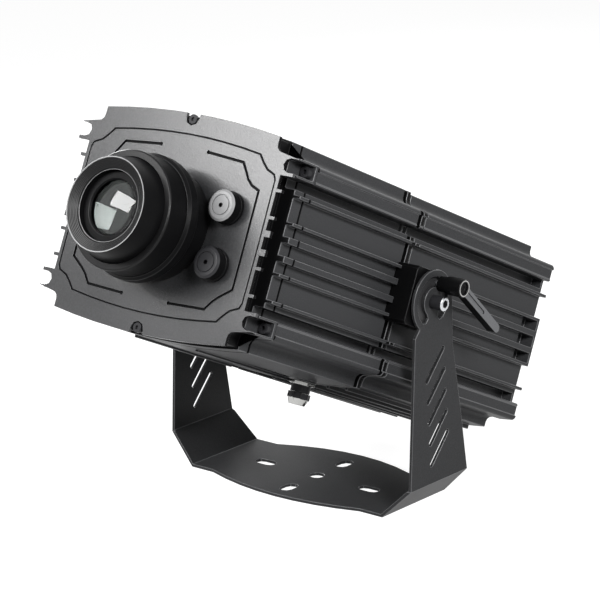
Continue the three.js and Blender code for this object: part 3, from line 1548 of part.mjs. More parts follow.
place(body, 'chassis_plate', makeChassis(), finishes.aluminium);
place(body, 'condenser_lens', makeCondenser(), finishes.glass);
place(body, 'condenser_tube', makeCondenserTube(), finishes.aluminium);
place(body, 'led_board', makeLedBoard(), finishes.board);
place(body, 'heat_sink', makeHeatSink(), finishes.aluminium);
place(body, 'fan_frame', makeFanFrame(), finishes.plastic);
place(body, 'fan_rotor', makeFanRotor(), finishes.plastic);
place(body, 'led_driver', makeDriver(), finishes.castGrey);
place(body, 'gland_body', makeGlandBody(), finishes.nickel);
place(body, 'gland_nut', makeGlandNut(), finishes.nickel);

const tiltPieces = [
  ['pivot_block', makeBlock, finishes.powder],
  ['friction_washer', makeWasher, finishes.plastic],
  ['pivot_bolt', makeBolt, finishes.steel],
  ['clamp_stud', makeStud, finishes.steel],
  ['clamp_lever', makeLever, finishes.castGrey],
  ['lever_cap', makeLeverCap, finishes.nickel],
];
for (const [name, make, material] of tiltPieces) {
  const solid = make();
  place(tilting, `${name}_right`, solid, material);
  place(tilting, `${name}_left`, mirrorX(solid), material);
}

// Stand the part on its base, with the origin at the bottom centre of its box
root.updateMatrixWorld(true);
const bounds = new THREE.Box3().setFromObject(root, true);
const middle = bounds.getCenter(new THREE.Vector3());
root.position.set(-middle.x, -middle.y, -bounds.min.z);

export default root;
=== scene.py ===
import json
import math

import bmesh
import bpy
from bpy.props import FloatProperty, FloatVectorProperty, IntProperty, PointerProperty
from mathutils import Matrix, Vector


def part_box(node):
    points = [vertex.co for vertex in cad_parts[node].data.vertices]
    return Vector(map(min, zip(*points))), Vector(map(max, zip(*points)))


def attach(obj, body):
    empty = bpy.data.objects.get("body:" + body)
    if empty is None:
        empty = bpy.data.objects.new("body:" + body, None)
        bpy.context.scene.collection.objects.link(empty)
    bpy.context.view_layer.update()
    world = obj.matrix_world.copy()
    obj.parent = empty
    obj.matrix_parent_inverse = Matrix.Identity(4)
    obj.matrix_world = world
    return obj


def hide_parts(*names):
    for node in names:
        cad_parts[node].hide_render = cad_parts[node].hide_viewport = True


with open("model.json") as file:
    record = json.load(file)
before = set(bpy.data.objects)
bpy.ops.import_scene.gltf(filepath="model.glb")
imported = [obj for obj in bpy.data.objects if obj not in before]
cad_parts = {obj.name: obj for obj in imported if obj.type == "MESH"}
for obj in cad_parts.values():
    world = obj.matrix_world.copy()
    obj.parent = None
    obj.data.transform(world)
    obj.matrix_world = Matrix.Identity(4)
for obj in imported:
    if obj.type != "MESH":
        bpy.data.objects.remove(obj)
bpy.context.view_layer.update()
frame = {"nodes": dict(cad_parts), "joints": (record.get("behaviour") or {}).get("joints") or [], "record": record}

bl_info = {
    "name": "Gobo projector",
    "version": (1, 0, 0),
    "blender": (4, 5, 0),
    "location": "View3D > Sidebar > Projector",
    "description": "Dresses the projector's frame with edged castings, turned barrel parts and finishes",
    "category": "Object",
}

MM = 0.001
HALF = 0.5
FULL_TURN = 2 * math.pi
HALF_TURN = math.pi
QUARTER_TURN = math.pi / 2

# Share of a face's normal along an axis, from which the face leans that way, or lies square to it
FORWARD = 0.3
FLAT_ON = 0.95

# Clearance between seated pieces, how far a cut reaches past a face, and slack when a face is looked up
SEAT_GAP = 0.3 * MM
OVERRUN = MM
EDGE_SPAN = 0.1 * MM

# Distances within which doubled vertices are merged
COPY_MERGE = 0.002 * MM
SPIN_MERGE = 0.001 * MM

# Angles between two faces: still one flat, rounded over, shaded as one surface, and the same on the lens
FLAT_ANGLE = math.radians(0.8)
BEND_ANGLE = math.radians(32)
SMOOTH_ANGLE = math.radians(40)
LENS_SMOOTH_ANGLE = math.radians(20)
BEVEL_SEGMENTS = 2
NORMAL_WEIGHT = 50

# Sides of the turned pieces and of a socket, and steps of the lens's dome
BARREL_SIDES = 112
HOOD_SIDES = 128
KNOB_SIDES = 72
BOLT_SIDES = 56
SCREW_SIDES = 40
SOCKET_SIDES = 6
DOME_STEPS = 16

# Roundings as shares of the turned edge
FINE_EDGE_SHARE = 0.6
GLAND_EDGE_SHARE = 0.8

# Where the cover's grooves lie, whose faces take painted shade: inside its outline, under its skin and before its
# back
GROOVE_MARGIN = 6 * MM
GROOVE_SKIN = 0.35 * MM
GROOVE_REACH = 3 * MM

# The head's own frame: +Y runs from the lens to the rear cover, and its origin is the tilt pivot
joints = {joint["name"]: joint for joint in frame["joints"]}
pivot = Vector(joints["tilt"]["pos_m"])
across = Vector((1, 0, 0))
along = Vector(joints["gobo_turn"]["axis"]).normalized()
upward = across.cross(along)
HEAD = Matrix.Translation(pivot) @ Matrix((across, along, upward)).transposed().to_4x4()
TO_HEAD = HEAD.inverted()
BODY_OF = {node: body for body, nodes in frame["record"]["behaviour"]["bodies"].items() for node in nodes}
SLOT_OF = {part["node"]: part["material_slot"] for part in frame["record"]["subparts"]}
SIDES = (("right", 1), ("left", -1))


def head_box(node):
    """Lowest and highest corner of a CAD node in the head's own frame."""
    places = [TO_HEAD @ vertex.co for vertex in frame["nodes"][node].data.vertices]
    return Vector(map(min, zip(*places))), Vector(map(max, zip(*places)))


def head_middle(node):
    """Middle of a CAD node in the head's own frame."""
    low, high = head_box(node)
    return (low + high) / 2


# Sizes and colours that a user would change


def size(name, description, default):
    """A length in metres with its default in millimetres."""
    return FloatProperty(
        name=name, description=description, default=default * MM, unit="LENGTH", precision=5
    )


def colour(name, description, default):
    """A linear colour."""
    return FloatVectorProperty(
        name=name, description=description, default=default, subtype="COLOR", size=3, min=0, max=1
    )


class EdgeSizes(bpy.types.PropertyGroup):
    """Roundings"""

    casting: size("Casting edge", "Rounding of the housings' outer edges", 0.55)
    plate: size("Plate edge", "Rounding of the front cover's edges and grooves", 0.2)
    sheet: size("Sheet edge", "Rounding of the yoke's cut edges", 0.45)
    turned: size("Turned edge", "Rounding of turned parts", 0.35)
    screw: size("Screw edge", "Rounding of screw heads", 0.3)


class FrameSizes(bpy.types.PropertyGroup):
    """Where the front frame's neck lies, which is coated near black as painted shade"""

    rim_length: size("Rim length", "Length of the front frame's rim, behind its neck", 13.2)
    neck_reach: size("Neck reach", "Widest place of the front frame's neck from its middle", 100)


class BarrelSizes(bpy.types.PropertyGroup):
    """The barrel, the hood and the front lens"""

    neck_length: size("Neck length", "From the cover's face to the drum", 23)
    neck_inset: size("Neck inset", "How far the neck lies inside the drum", 4.5)
    neck_flare: size("Neck flare", "Length of the flare from neck to drum", 2)
    neck_slope: size("Neck slope", "How far the neck narrows towards the cover", 3)
    edge: size("Drum edge", "Chamfer at the front of the drum", 2.4)
    bore: size("Bore", "Radius of the drum's bore", 33)
    ring_face: size("Ring face", "Width of the flat front of the stepped ring", 5.5)
    ring_edge: size("Ring edge length", "Length of the stepped ring's straight outside", 21.2)
    rim_inset: size("Rim inset", "How far the hood's rim lies inside its flare", 4.4)
    rim_wall: size("Rim wall", "Wall at the hood's rim", 1.1)
    dish_depth: size("Dish depth", "Depth of the ribbed dish inside the rim", 5)
    dish_rise: size("Dish rib rise", "Height of the steps in the dish", 0.4)
    dish_ribs: IntProperty(name="Dish ribs", description="Steps in the hood's dish", default=7, min=1)
    throat: size("Throat", "Radius of the hood's throat round the lens", 30.3)
    # The throat ring's flat face is coated light as a painted highlight ring
    throat_ring: size("Throat ring", "Width of the bright ring round the throat", 0.5)
    ledge: size("Ledge", "Width of the ledge behind the lens", 3)
    lens_ring_width: size("Lens ring width", "Width of the ring that holds the lens", 7)
    lens_ring_chamfer: size("Lens ring chamfer", "Chamfer inside the lens ring", 1.2)
    lens_edge: size("Lens edge", "Thickness of the lens at its rim", 7)


class KnobSizes(bpy.types.PropertyGroup):
    """The focus and zoom knobs"""

    flange: size("Flange", "Thickness of the knob's foot", 3)
    flange_proud: size("Flange proud", "How far the foot stands outside the body", 0.7)
    face_inset: size("Face inset", "How far the face lies inside the body", 2)
    bevel: size("Face bevel", "Length of the bevel at the face", 1.6)
    ring_radius: size("Ring radius", "Radius of the groove in the face", 8)
    ring_width: size("Ring width", "Width of the groove in the face", 0.9)
    ring_depth: size("Ring depth", "Depth of the groove in the face", 0.8)
    socket: size("Socket", "Radius of the socket in the face", 2.2)
    socket_depth: size("Socket depth", "Depth of the socket in the face", 2.5)


class ScrewSizes(bpy.types.PropertyGroup):
    """Heads and sockets of the three families of screws"""

    cover_head: size("Cover screw head", "Length of a cover screw's head", 3.2)
    cover_socket: size("Cover screw socket", "Radius of a cover screw's socket", 1.9)
    corner_head: size("Corner screw head", "Length of a corner screw's head", 6)
    corner_socket: size("Corner screw socket", "Radius of a corner screw's socket", 2.5)
    rear_head: size("Rear screw head", "Length of a rear screw's head", 2.6)
    rear_socket: size("Rear screw socket", "Radius of a rear screw's socket", 1.6)


class BoltSizes(bpy.types.PropertyGroup):
    """The pivot bolts"""

    shank: size("Shank", "Radius of the bolt's shank", 4)
    chamfer: size("Chamfer", "Chamfer at the end of the head", 0.8)
    ring: size("Bright ring", "Length of the bright ring at the end of the head", 1)
    socket: size("Socket", "Radius of the socket in the head", 3.8)
    socket_depth: size("Socket depth", "Depth of the socket in the head", 5)


class LeverSizes(bpy.types.PropertyGroup):
    """The clamp levers and the bright ring on each hub"""

    hub: size("Hub", "Radius of the hub", 8.2)
    arm_start: size("Arm start", "How far outside the hub the grey arm begins", 1)
    ring: size("Silver ring", "Width of the bright ring at the hub's end", 1.1)
    ring_outside: size("Silver ring radius", "Outer radius of the bright ring", 7.3)
    ring_proud: size("Silver ring proud", "How far the ring stands out of the hub's end", 0.3)
    ring_sink: size("Silver ring seat", "How deep the ring sits in the hub's end", 0.4)


class GlandSizes(bpy.types.PropertyGroup):
    """The black bands on the gland, by their height over the top of its nut"""

    body_band_foot: size("Body band foot", "Foot of the black band on the body", 0.4)
    body_band_top: size("Body band top", "Top of the black band on the body", 6.6)
    nut_band_foot: size("Nut band foot", "Foot of the black band on the nut", -4.9)
    nut_band_top: size("Nut band top", "Top of the black band on the nut", -0.9)


class FinishColours(bpy.types.PropertyGroup):
    """Colours of the finishes"""

    powder: colour("Powder coat", "Housings", (0.044, 0.0447, 0.047))
    sheet: colour("Sheet powder coat", "Yoke", (0.034, 0.0345, 0.0362))
    cover: colour("Cover coat", "Front cover", (0.03, 0.0304, 0.032))
    # Light grey: painted highlight rings on the hood's rim and throat, and the focus knob's front, partly its own
    # turned face and partly painted highlight
    faced: colour("Faced black", "Finely turned fronts of knobs and hood rim", (0.2, 0.201, 0.204))
    satin: colour("Satin black", "Barrel, knobs and rings", (0.004, 0.004, 0.0043))
    # Lighter tone of the powder coats' rounded edges: partly real rubbed wear, partly painted highlight along the
    # edges
    worn_and_highlight: colour("Worn edge", "Rubbed edges of the powder coat", (0.085, 0.086, 0.09))
    rubber: colour("Rubber", "Gasket", (0.006, 0.006, 0.006))
    black_steel: colour("Black steel", "Screws", (0.02, 0.02, 0.022))
    steel: colour("Steel", "Bolts and rods", (0.62, 0.63, 0.65))
    nickel: colour("Nickel", "Gland and lever rings", (0.42, 0.42, 0.41))
    lever: colour("Lever grey", "Clamp levers", (0.12, 0.123, 0.13))
    casting: colour("Cast grey", "Driver case", (0.3, 0.31, 0.32))
    aluminium: colour("Bare aluminium", "Inner plates and heat sink", (0.6, 0.61, 0.62))
    glass: colour("Glass", "Lenses", (0.85, 0.93, 0.9))
    board: colour("Board", "Lamp board", (0.78, 0.77, 0.72))
    plastic: colour("Plastic", "Fan and washers", (0.02, 0.02, 0.021))
    brass: colour("Brass", "Gears", (0.6, 0.42, 0.15))


class CameraSettings(bpy.types.PropertyGroup):
    """Where the camera stands and what it sees"""

    azimuth: FloatProperty(
        name="Azimuth", description="Turn round the projector", default=math.radians(38.51), subtype="ANGLE"
    )
    elevation: FloatProperty(
        name="Elevation", description="Angle over the horizon", default=math.radians(15.84), subtype="ANGLE"
    )
    distance: size("Distance", "From the camera to its target", 2622.22)
    target: FloatVectorProperty(
        name="Target", description="The point in the middle of the view", size=3, unit="LENGTH",
        default=(0.00009, 0.019364, 0.17531),
    )
    lens: FloatProperty(name="Lens", description="Focal length in millimetres", default=175.93)
    sensor: FloatProperty(name="Sensor", description="Sensor width in millimetres", default=36)
    reach: size("Reach", "How far the camera sees", 20000)


class StageSettings(bpy.types.PropertyGroup):
    """Floor and surroundings"""

    floor_width: size("Floor width", "Side of the floor", 12000)
    floor_drop: size("Floor drop", "How far the floor lies under the yoke's base", 0.2)
    cloth: FloatProperty(name="Cloth", description="How much light the floor gives back", default=0.3)
    glow: FloatProperty(name="Glow", description="Paleness of the floor to the camera", default=0.94)
    ambient: FloatProperty(name="Ambient", description="Light from the surroundings", default=0.03)


# Shader arithmetic

# The places of the Mix node's factor, its two colours and their mixture among its sockets
MIX_FACTOR = 0
MIX_FIRST = 6
MIX_SECOND = 7
MIX_RESULT = 2


class Wire:
    """A socket of a recipe's node tree. Arithmetic on wires adds Math nodes."""

    def __init__(self, recipe, socket):
        self.recipe = recipe
        self.socket = socket

    def __add__(self, other):
        return self.recipe.math("ADD", self, other)

    def __radd__(self, other):
        return self.recipe.math("ADD", other, self)

    def __sub__(self, other):
        return self.recipe.math("SUBTRACT", self, other)

    def __rsub__(self, other):
        return self.recipe.math("SUBTRACT", other, self)

    def __mul__(self, other):
        return self.recipe.math("MULTIPLY", self, other)

    def __rmul__(self, other):
        return self.recipe.math("MULTIPLY", other, self)


class Recipe:
    """The nodes of a material or of the world while they are being put together."""

    def __init__(self, owner):
        owner.use_nodes = True
        self.owner = owner
        self.tree = owner.node_tree
        self.tree.nodes.clear()

    def add(self, kind, settings=None, sockets=None, output=0):
        """Adds a node, sets it up, fills or links its sockets, and gives one of its outputs, if any."""
        node = self.tree.nodes.new(kind)
        for key, value in (settings or {}).items():
            setattr(node, key, value)
        for key, value in (sockets or {}).items():
            if isinstance(value, Wire):
                self.tree.links.new(value.socket, node.inputs[key])
            else:
                node.inputs[key].default_value = value
        return Wire(self, node.outputs[output]) if node.outputs else None

    def math(self, operation, first, second):
        """A Math node on two wires, or on a wire and a number."""
        return self.add("ShaderNodeMath", {"operation": operation}, {0: first, 1: second})

    def end(self, kind, shader):
        """Links a shader to a new output node, and gives what the nodes belong to."""
        self.add(kind, sockets={"Surface": shader})
        return self.owner

    def plain_rays(self):
        """One for rays that see the pale background: those from the camera, off gloss and through glass."""
        camera, glossy, through = [self.add("ShaderNodeLightPath", output=name) for name in (
            "Is Camera Ray", "Is Glossy Ray", "Is Transmission Ray"
        )]
        return self.math("MAXIMUM", self.math("MAXIMUM", camera, glossy), through)


class Finish(Recipe):
    """The recipe of a material on the projector, with patterns that lie fast on its piece."""

    def __init__(self, name):
        super().__init__(bpy.data.materials.new(name))
        self.coordinates = self.add("ShaderNodeTexCoord", output="Object")

    def toned(self, factor, tone, darkest, lightest):
        """A colour that runs between two shares of itself."""
        dark, light = [(*(channel * share for channel in tone), 1) for share in (darkest, lightest)]
        return self.add("ShaderNodeMix", {"data_type": "RGBA"}, {
            MIX_FACTOR: factor, MIX_FIRST: dark, MIX_SECOND: light,
        }, output=MIX_RESULT)

    def strayed(self, pattern, middle, spread):
        """A value that strays from its middle with a pattern, by up to half its spread either way."""
        return middle + spread * (pattern - HALF)

    def noise(self, scale, detail):
        """Noise between 0 and 1 with a given number of features to the metre."""
        return self.add("ShaderNodeTexNoise", sockets={
            "Vector": self.coordinates, "Scale": scale, "Detail": detail,
        })

    def bump(self, height, distance):
        """A normal bent by a height."""
        return self.add("ShaderNodeBump", sockets={"Height": height, "Distance": distance})

    def shaded(self, sockets):
        """Ends the finish in one Principled shader and gives its material."""
        return self.end("ShaderNodeOutputMaterial", self.add("ShaderNodeBsdfPrincipled", sockets=sockets))


# Finishes


def powder_coat(name, tone, roughness, grain=900.0, height=0.05 * MM, specular=0.5):
    """Fine-textured powder coat: small even pips over a slow drift of tone."""
    finish = Finish(name)
    pips = finish.noise(scale=grain, detail=1.5)
    fine = finish.noise(scale=2.6 * grain, detail=1.0)
    drift = finish.noise(scale=14.0, detail=3.0)
    mottling = 1.2 * pips + 0.3 * drift - 0.25
    relief = 0.7 * pips + 0.3 * fine
    return finish.shaded({
        "Base Color": finish.toned(mottling, tone, darkest=0.7, lightest=1.35),
        "Roughness": finish.strayed(drift, middle=roughness, spread=0.1) + 0.05 * fine - 0.02,
        "Normal": finish.bump(relief, distance=height),
        "Specular IOR Level": specular,
    })


def satin_black(name, tone, roughness, specular):
    """Black anodising over a turned surface, with very fine grain."""
    finish = Finish(name)
    grain = finish.noise(scale=2600.0, detail=1.0)
    drift = finish.noise(scale=30.0, detail=2.0)
    return finish.shaded({
        "Base Color": finish.toned(drift, tone, darkest=0.8, lightest=1.3),
        "Roughness": finish.strayed(drift, middle=roughness, spread=0.1),
        "Normal": finish.bump(grain, distance=0.012 * MM),
        "Specular IOR Level": specular,
    })


def metal(name, tone, roughness):
    """Bare or plated metal with fine handling marks."""
    finish = Finish(name)
    grit = finish.noise(scale=900.0, detail=3.0)
    drift = finish.noise(scale=60.0, detail=2.0)
    return finish.shaded({
        "Base Color": finish.toned(drift, tone, darkest=0.86, lightest=1.0),
        "Metallic": 1.0,
        "Roughness": finish.strayed(grit, middle=roughness, spread=0.12),
        "Normal": finish.bump(grit, distance=0.006 * MM),
    })


def moulded(name, tone, roughness):
    """Moulded plastic or rubber with an even fine grain."""
    finish = Finish(name)
    grain = finish.noise(scale=1400.0, detail=2.0)
    drift = finish.noise(scale=25.0, detail=2.0)
    return finish.shaded({
        "Base Color": finish.toned(drift, tone, darkest=0.85, lightest=1.15),
        "Roughness": finish.strayed(grain, middle=roughness, spread=0.08),
        "Normal": finish.bump(grain, distance=0.02 * MM),
    })


def coated_glass(name, tone, roughness, refraction):
    """Clear lens glass with a thin coating and a trace of dust."""
    finish = Finish(name)
    dust = finish.noise(scale=500.0, detail=3.0)
    return finish.shaded({
        "Base Color": finish.toned(dust, tone, darkest=0.97, lightest=1.0),
        "Roughness": roughness + 0.02 * dust,
        "Transmission Weight": 1.0,
        "IOR": refraction,
    })


# Every finish: its kind, its colour and its settings. One named after another with _edge is on its roundings; the
# worn tone there is partly real wear and partly painted highlight
FINISH_RECIPES = {
    "powder_black": (powder_coat, "powder", dict(roughness=0.42, specular=0.1)),
    "powder_black_edge": (powder_coat, "worn_and_highlight", dict(roughness=0.34)),
    "yoke_black": (powder_coat, "sheet", dict(roughness=0.42, specular=0.1)),
    "yoke_black_edge": (powder_coat, "worn_and_highlight", dict(roughness=0.34)),
    "cover_black": (powder_coat, "cover", dict(roughness=0.25, grain=620.0, height=0.07 * MM, specular=0.6)),
    "cover_black_edge": (powder_coat, "worn_and_highlight", dict(roughness=0.3)),
    # Near-black coat that paints shade into the cover's grooves and the seams between castings
    "groove_black": (satin_black, "satin", dict(roughness=0.5, specular=0.05)),
    "satin_black": (satin_black, "satin", dict(roughness=0.36, specular=0.05)),
    "satin_black_edge": (satin_black, "satin", dict(roughness=0.3, specular=0.18)),
    # Near-black coat that paints shade into the front frame's neck and over the joint flange
    "frame_black": (satin_black, "satin", dict(roughness=0.45, specular=0.06)),
    "frame_black_edge": (powder_coat, "worn_and_highlight", dict(roughness=0.34)),
    "faced_dark": (satin_black, "black_steel", dict(roughness=0.32, specular=0.5)),
    # Light faced finish that paints highlight rings on the hood and lightens the focus knob's front
    "fine_turned": (satin_black, "faced", dict(roughness=0.3, specular=0.5)),
    "black_rubber": (moulded, "rubber", dict(roughness=0.85)),
    "bright_steel": (metal, "steel", dict(roughness=0.26)),
    "black_steel": (satin_black, "black_steel", dict(roughness=0.4, specular=0.15)),
    "nickel": (metal, "nickel", dict(roughness=0.2)),
    "lever_grey": (powder_coat, "lever", dict(roughness=0.42, grain=1500.0, height=0.03 * MM)),
    "cast_grey": (powder_coat, "casting", dict(roughness=0.55, grain=700.0, height=0.08 * MM)),
    "bare_aluminium": (metal, "aluminium", dict(roughness=0.36)),
    "coated_glass": (coated_glass, "glass", dict(roughness=0.015, refraction=1.52)),
    "board_white": (moulded, "board", dict(roughness=0.5)),
    "black_plastic": (moulded, "plastic", dict(roughness=0.5)),
    "gear_brass": (metal, "brass", dict(roughness=0.32)),
}
FINISHES = {}


def finish_of(name):
    """A finish by its name. All of them are mixed when the first one is asked for."""
    if not FINISHES:
        tones = bpy.context.scene.projector_finishes
        for key, (kind, tone, settings) in FINISH_RECIPES.items():
            FINISHES[key] = kind(key, getattr(tones, tone), **settings)
    return FINISHES[name]


def coat(piece, name):
    """Gives a piece its finish, and as its second one what its rounded edges show."""
    face = finish_of(name)
    piece.data.materials.clear()
    piece.data.materials.append(face)
    piece.data.materials.append(FINISHES.get(f"{name}_edge", face))


def recoat(piece, name, test):
    """Gives another finish to the faces that pass a test."""
    piece.data.materials.append(finish_of(name))
    index = len(piece.data.materials) - 1
    for face in piece.data.polygons:
        if test(face):
            face.material_index = index


def looks_forward(face):
    """True for a face of a piece on the Y axis that looks towards the lens's side."""
    return face.normal.y < -FORWARD


# Modelling helpers


def deselect_all():
    """Leaves edit mode, with nothing selected or active."""
    if bpy.context.mode != "OBJECT":
        bpy.ops.object.mode_set(mode="OBJECT")
    bpy.ops.object.select_all(action="DESELECT")
    bpy.context.view_layer.objects.active = None


def only(piece):
    """Selects a piece alone."""
    deselect_all()
    piece.select_set(True)
    bpy.context.view_layer.objects.active = piece


def edit(piece):
    """Opens a piece in edit mode."""
    only(piece)
    bpy.ops.object.mode_set(mode="EDIT")


def edit_mesh(piece):
    """The mesh of the piece in edit mode."""
    return bmesh.from_edit_mesh(piece.data)


def keep_one_vertex(piece):
    """Deletes all vertices but the first, and selects that one."""
    bpy.ops.mesh.select_mode(type="VERT")
    bpy.ops.mesh.select_all(action="DESELECT")
    mesh = edit_mesh(piece)
    for vertex in mesh.verts:
        vertex.select_set(vertex.index > 0)
    mesh.select_flush_mode()
    bmesh.update_edit_mesh(piece.data)
    bpy.ops.mesh.delete(type="VERT")
    bpy.ops.mesh.select_all(action="SELECT")


def start(name):
    """Names the primitive that was just added."""
    piece = bpy.context.active_object
    piece.name = name
    piece.data.name = name
    return piece


def applied(piece, kind, **settings):
    """Adds a modifier, sets it up and applies it."""
    only(piece)
    modifier = piece.modifiers.new(kind.lower(), kind)
    for key, value in settings.items():
        setattr(modifier, key, value)
    bpy.ops.object.modifier_apply(modifier=modifier.name)


def shade_smooth(piece, angle):
    """Shades a piece smooth wherever it bends by less than an angle."""
    only(piece)
    bpy.ops.object.shade_smooth_by_angle(angle=angle)


def rounded(piece, width, finish):
    """Coats a piece, rounds every sharp edge and shades it smooth between flats."""
    coat(piece, finish)
    shade_smooth(piece, SMOOTH_ANGLE)
    applied(
        piece, "BEVEL", width=width, segments=BEVEL_SEGMENTS, limit_method="ANGLE", material=1,
        angle_limit=BEND_ANGLE, use_clamp_overlap=False, miter_outer="MITER_ARC",
    )
    shade_smooth(piece, SMOOTH_ANGLE)
    applied(piece, "WEIGHTED_NORMAL", keep_sharp=True, weight=NORMAL_WEIGHT)


def settle(piece, place=None):
    """Puts a piece at its place and moves that place into its mesh."""
    only(piece)
    if place is not None:
        piece.matrix_world = place @ piece.matrix_world
    bpy.ops.object.transform_apply(location=True, rotation=True, scale=True)
    return piece


def dressed(piece, node):
    """Gives a piece the body of the node that it stands for, and hides the node."""
    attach(piece, BODY_OF[node])
    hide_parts(node)
    return piece


def edged_copy(node, width, finish=None):
    """A copy of a CAD node with its flats merged, its sharp edges rounded and a finish."""
    deselect_all()
    piece = bpy.data.objects.new(f"{node}_edged", frame["nodes"][node].data.copy())
    bpy.context.scene.collection.objects.link(piece)
    edit(piece)
    bpy.ops.mesh.select_all(action="SELECT")
    bpy.ops.mesh.remove_doubles(threshold=COPY_MERGE)
    bpy.ops.mesh.dissolve_limited(angle_limit=FLAT_ANGLE, delimit=set())
    bpy.ops.object.mode_set(mode="OBJECT")
    rounded(piece, width, finish or SLOT_OF[node])
    return dressed(piece, node)


def turned(name, profile, sides=BARREL_SIDES, closed=False):
    """A profile of (radius, place) points, drawn point by point and spun round the Y axis."""
    deselect_all()
    bpy.ops.mesh.primitive_plane_add(size=MM, location=(0, 0, 0))
    piece = start(name)
    edit(piece)
    keep_one_vertex(piece)
    first_radius, first_place = profile[0]
    step = Vector((first_radius, first_place, 0)) - next(iter(edit_mesh(piece).verts)).co
    bpy.ops.transform.translate(value=step)
    for (r0, y0), (r1, y1) in zip(profile, profile[1:]):
        bpy.ops.mesh.extrude_vertices_move(
            TRANSFORM_OT_translate={"value": (r1 - r0, y1 - y0, 0)}
        )
    if closed:
        for vertex in edit_mesh(piece).verts:
            if len(vertex.link_edges) == 1:
                vertex.select_set(True)
        bmesh.update_edit_mesh(piece.data)
        bpy.ops.mesh.edge_face_add()
    bpy.ops.mesh.select_all(action="SELECT")
    bpy.ops.mesh.spin(steps=sides, angle=FULL_TURN, center=(0, 0, 0), axis=(0, 1, 0))
    bpy.ops.mesh.select_all(action="SELECT")
    bpy.ops.mesh.remove_doubles(threshold=SPIN_MERGE)
    bpy.ops.mesh.normals_make_consistent(inside=False)
    bpy.ops.object.mode_set(mode="OBJECT")
    return piece


def six_sided_cut(piece, radius, y0, y1):
    """Cuts a hexagon socket along the Y axis into a piece."""
    deselect_all()
    bpy.ops.mesh.primitive_cylinder_add(
        vertices=SOCKET_SIDES, radius=radius, depth=y1 - y0, location=(0, (y0 + y1) / 2, 0),
        rotation=(QUARTER_TURN, 0, 0),
    )
    cutter = start("socket_cutter")
    settle(cutter)
    applied(piece, "BOOLEAN", operation="DIFFERENCE", object=cutter, solver="EXACT")
    bpy.data.objects.remove(cutter)


def lens_axis():
    """The head's frame moved up to the lens axis."""
    return HEAD @ Matrix.Translation((0, 0, head_middle("barrel_base").z))


def outer_radius(node):
    """Radius of a round CAD node of the head."""
    low, high = head_box(node)
    return (high.x - low.x) / 2


# Pieces


class DressYoke(bpy.types.Operator):
    """The bent sheet yoke with softened cut edges"""

    bl_idname = "projector.yoke"
    bl_label = "Yoke"

    def execute(self, context):
        edged_copy("yoke", context.scene.projector_edges.sheet, finish="yoke_black")
        return {"FINISHED"}


def paint_seam_shade(piece, place, reach):
    """Coats the end of a casting near black, its rounded edge included, at a place along the head: painted shade
    for the dark gap at a seam.
    """
    recoat(piece, "groove_black", lambda face: abs((TO_HEAD @ face.center).y - place) < reach)


class DressHousings(bpy.types.Operator):
    """The cast frame, housings, joint flange and rear cover"""

    bl_idname = "projector.housings"
    bl_label = "Housings"

    def execute(self, context):
        edge = context.scene.projector_edges.casting
        for node in ("rear_housing", "rear_cover"):
            edged_copy(node, edge)
        # The joint flange is coated near black as painted shade
        edged_copy("joint_flange", edge, finish="frame_black")
        front_housing = edged_copy("front_housing", edge)
        # Both ends of the front housing and the back of the front frame take painted shade at the seams
        for end in head_box("front_housing"):
            paint_seam_shade(front_housing, end.y, edge)
        front_frame = edged_copy("front_frame", edge)
        paint_seam_shade(front_frame, head_box("front_frame")[1].y, edge)
        sizes = context.scene.projector_frame
        neck_back = head_box("front_frame")[1].y - sizes.rim_length

        def in_shaded_neck(face):
            place = TO_HEAD @ face.center
            forward = (TO_HEAD.to_3x3() @ face.normal).y < -FLAT_ON
            return place.y < neck_back + EDGE_SPAN and (forward or abs(place.x) < sizes.neck_reach)

        # The front frame's neck is coated near black as painted shade in its recess
        recoat(front_frame, "frame_black", in_shaded_neck)
        return {"FINISHED"}


class DressFrontCover(bpy.types.Operator):
    """The front cover with its grooves, whose faces are coated near black as painted shade"""

    bl_idname = "projector.front_cover"
    bl_label = "Front cover"

    def execute(self, context):
        cover = edged_copy("front_cover", context.scene.projector_edges.plate)
        low, high = head_box("front_cover")

        def in_shaded_groove(face):
            place = TO_HEAD @ face.center
            return (
                low.x + GROOVE_MARGIN < place.x < high.x - GROOVE_MARGIN
                and low.z + GROOVE_MARGIN < place.z < high.z - GROOVE_MARGIN
                and low.y + GROOVE_SKIN < place.y < low.y + GROOVE_REACH
            )

        # The groove faces are coated near black as painted shade
        recoat(cover, "groove_black", in_shaded_groove)
        return {"FINISHED"}


class TurnBarrel(bpy.types.Operator):
    """The drum on the front cover and the stepped ring before it"""

    bl_idname = "projector.barrel"
    bl_label = "Barrel"

    def execute(self, context):
        sizes = context.scene.projector_barrel
        edges = context.scene.projector_edges
        low, high = head_box("barrel_base")
        cover_face = head_box("front_cover")[0].y
        radius = outer_radius("barrel_base")
        neck_top = radius - sizes.neck_inset
        base = turned("barrel_drum", [
            (sizes.bore, low.y), (radius - sizes.edge, low.y), (radius, low.y + sizes.edge),
            (radius, cover_face - sizes.neck_length - sizes.neck_flare),
            (neck_top, cover_face - sizes.neck_length),
            (neck_top - sizes.neck_slope, high.y), (sizes.bore, high.y),
        ], closed=True)
        rounded(base, edges.turned, "satin_black")
        dressed(settle(base, lens_axis()), "barrel_base")

        ring_low, ring_high = head_box("barrel_ring")
        ring_radius = outer_radius("barrel_ring")
        flare = outer_radius("lens_hood")
        bore = flare + SEAT_GAP
        ring = turned("stepped_ring", [
            (bore, ring_low.y), (flare + sizes.ring_face, ring_low.y),
            (ring_radius, ring_high.y - sizes.ring_edge), (ring_radius, ring_high.y), (bore, ring_high.y),
        ], closed=True)
        rounded(ring, edges.turned, "satin_black")
        recoat(ring, "satin_black_edge", looks_forward)
        dressed(settle(ring, lens_axis()), "barrel_ring")
        return {"FINISHED"}


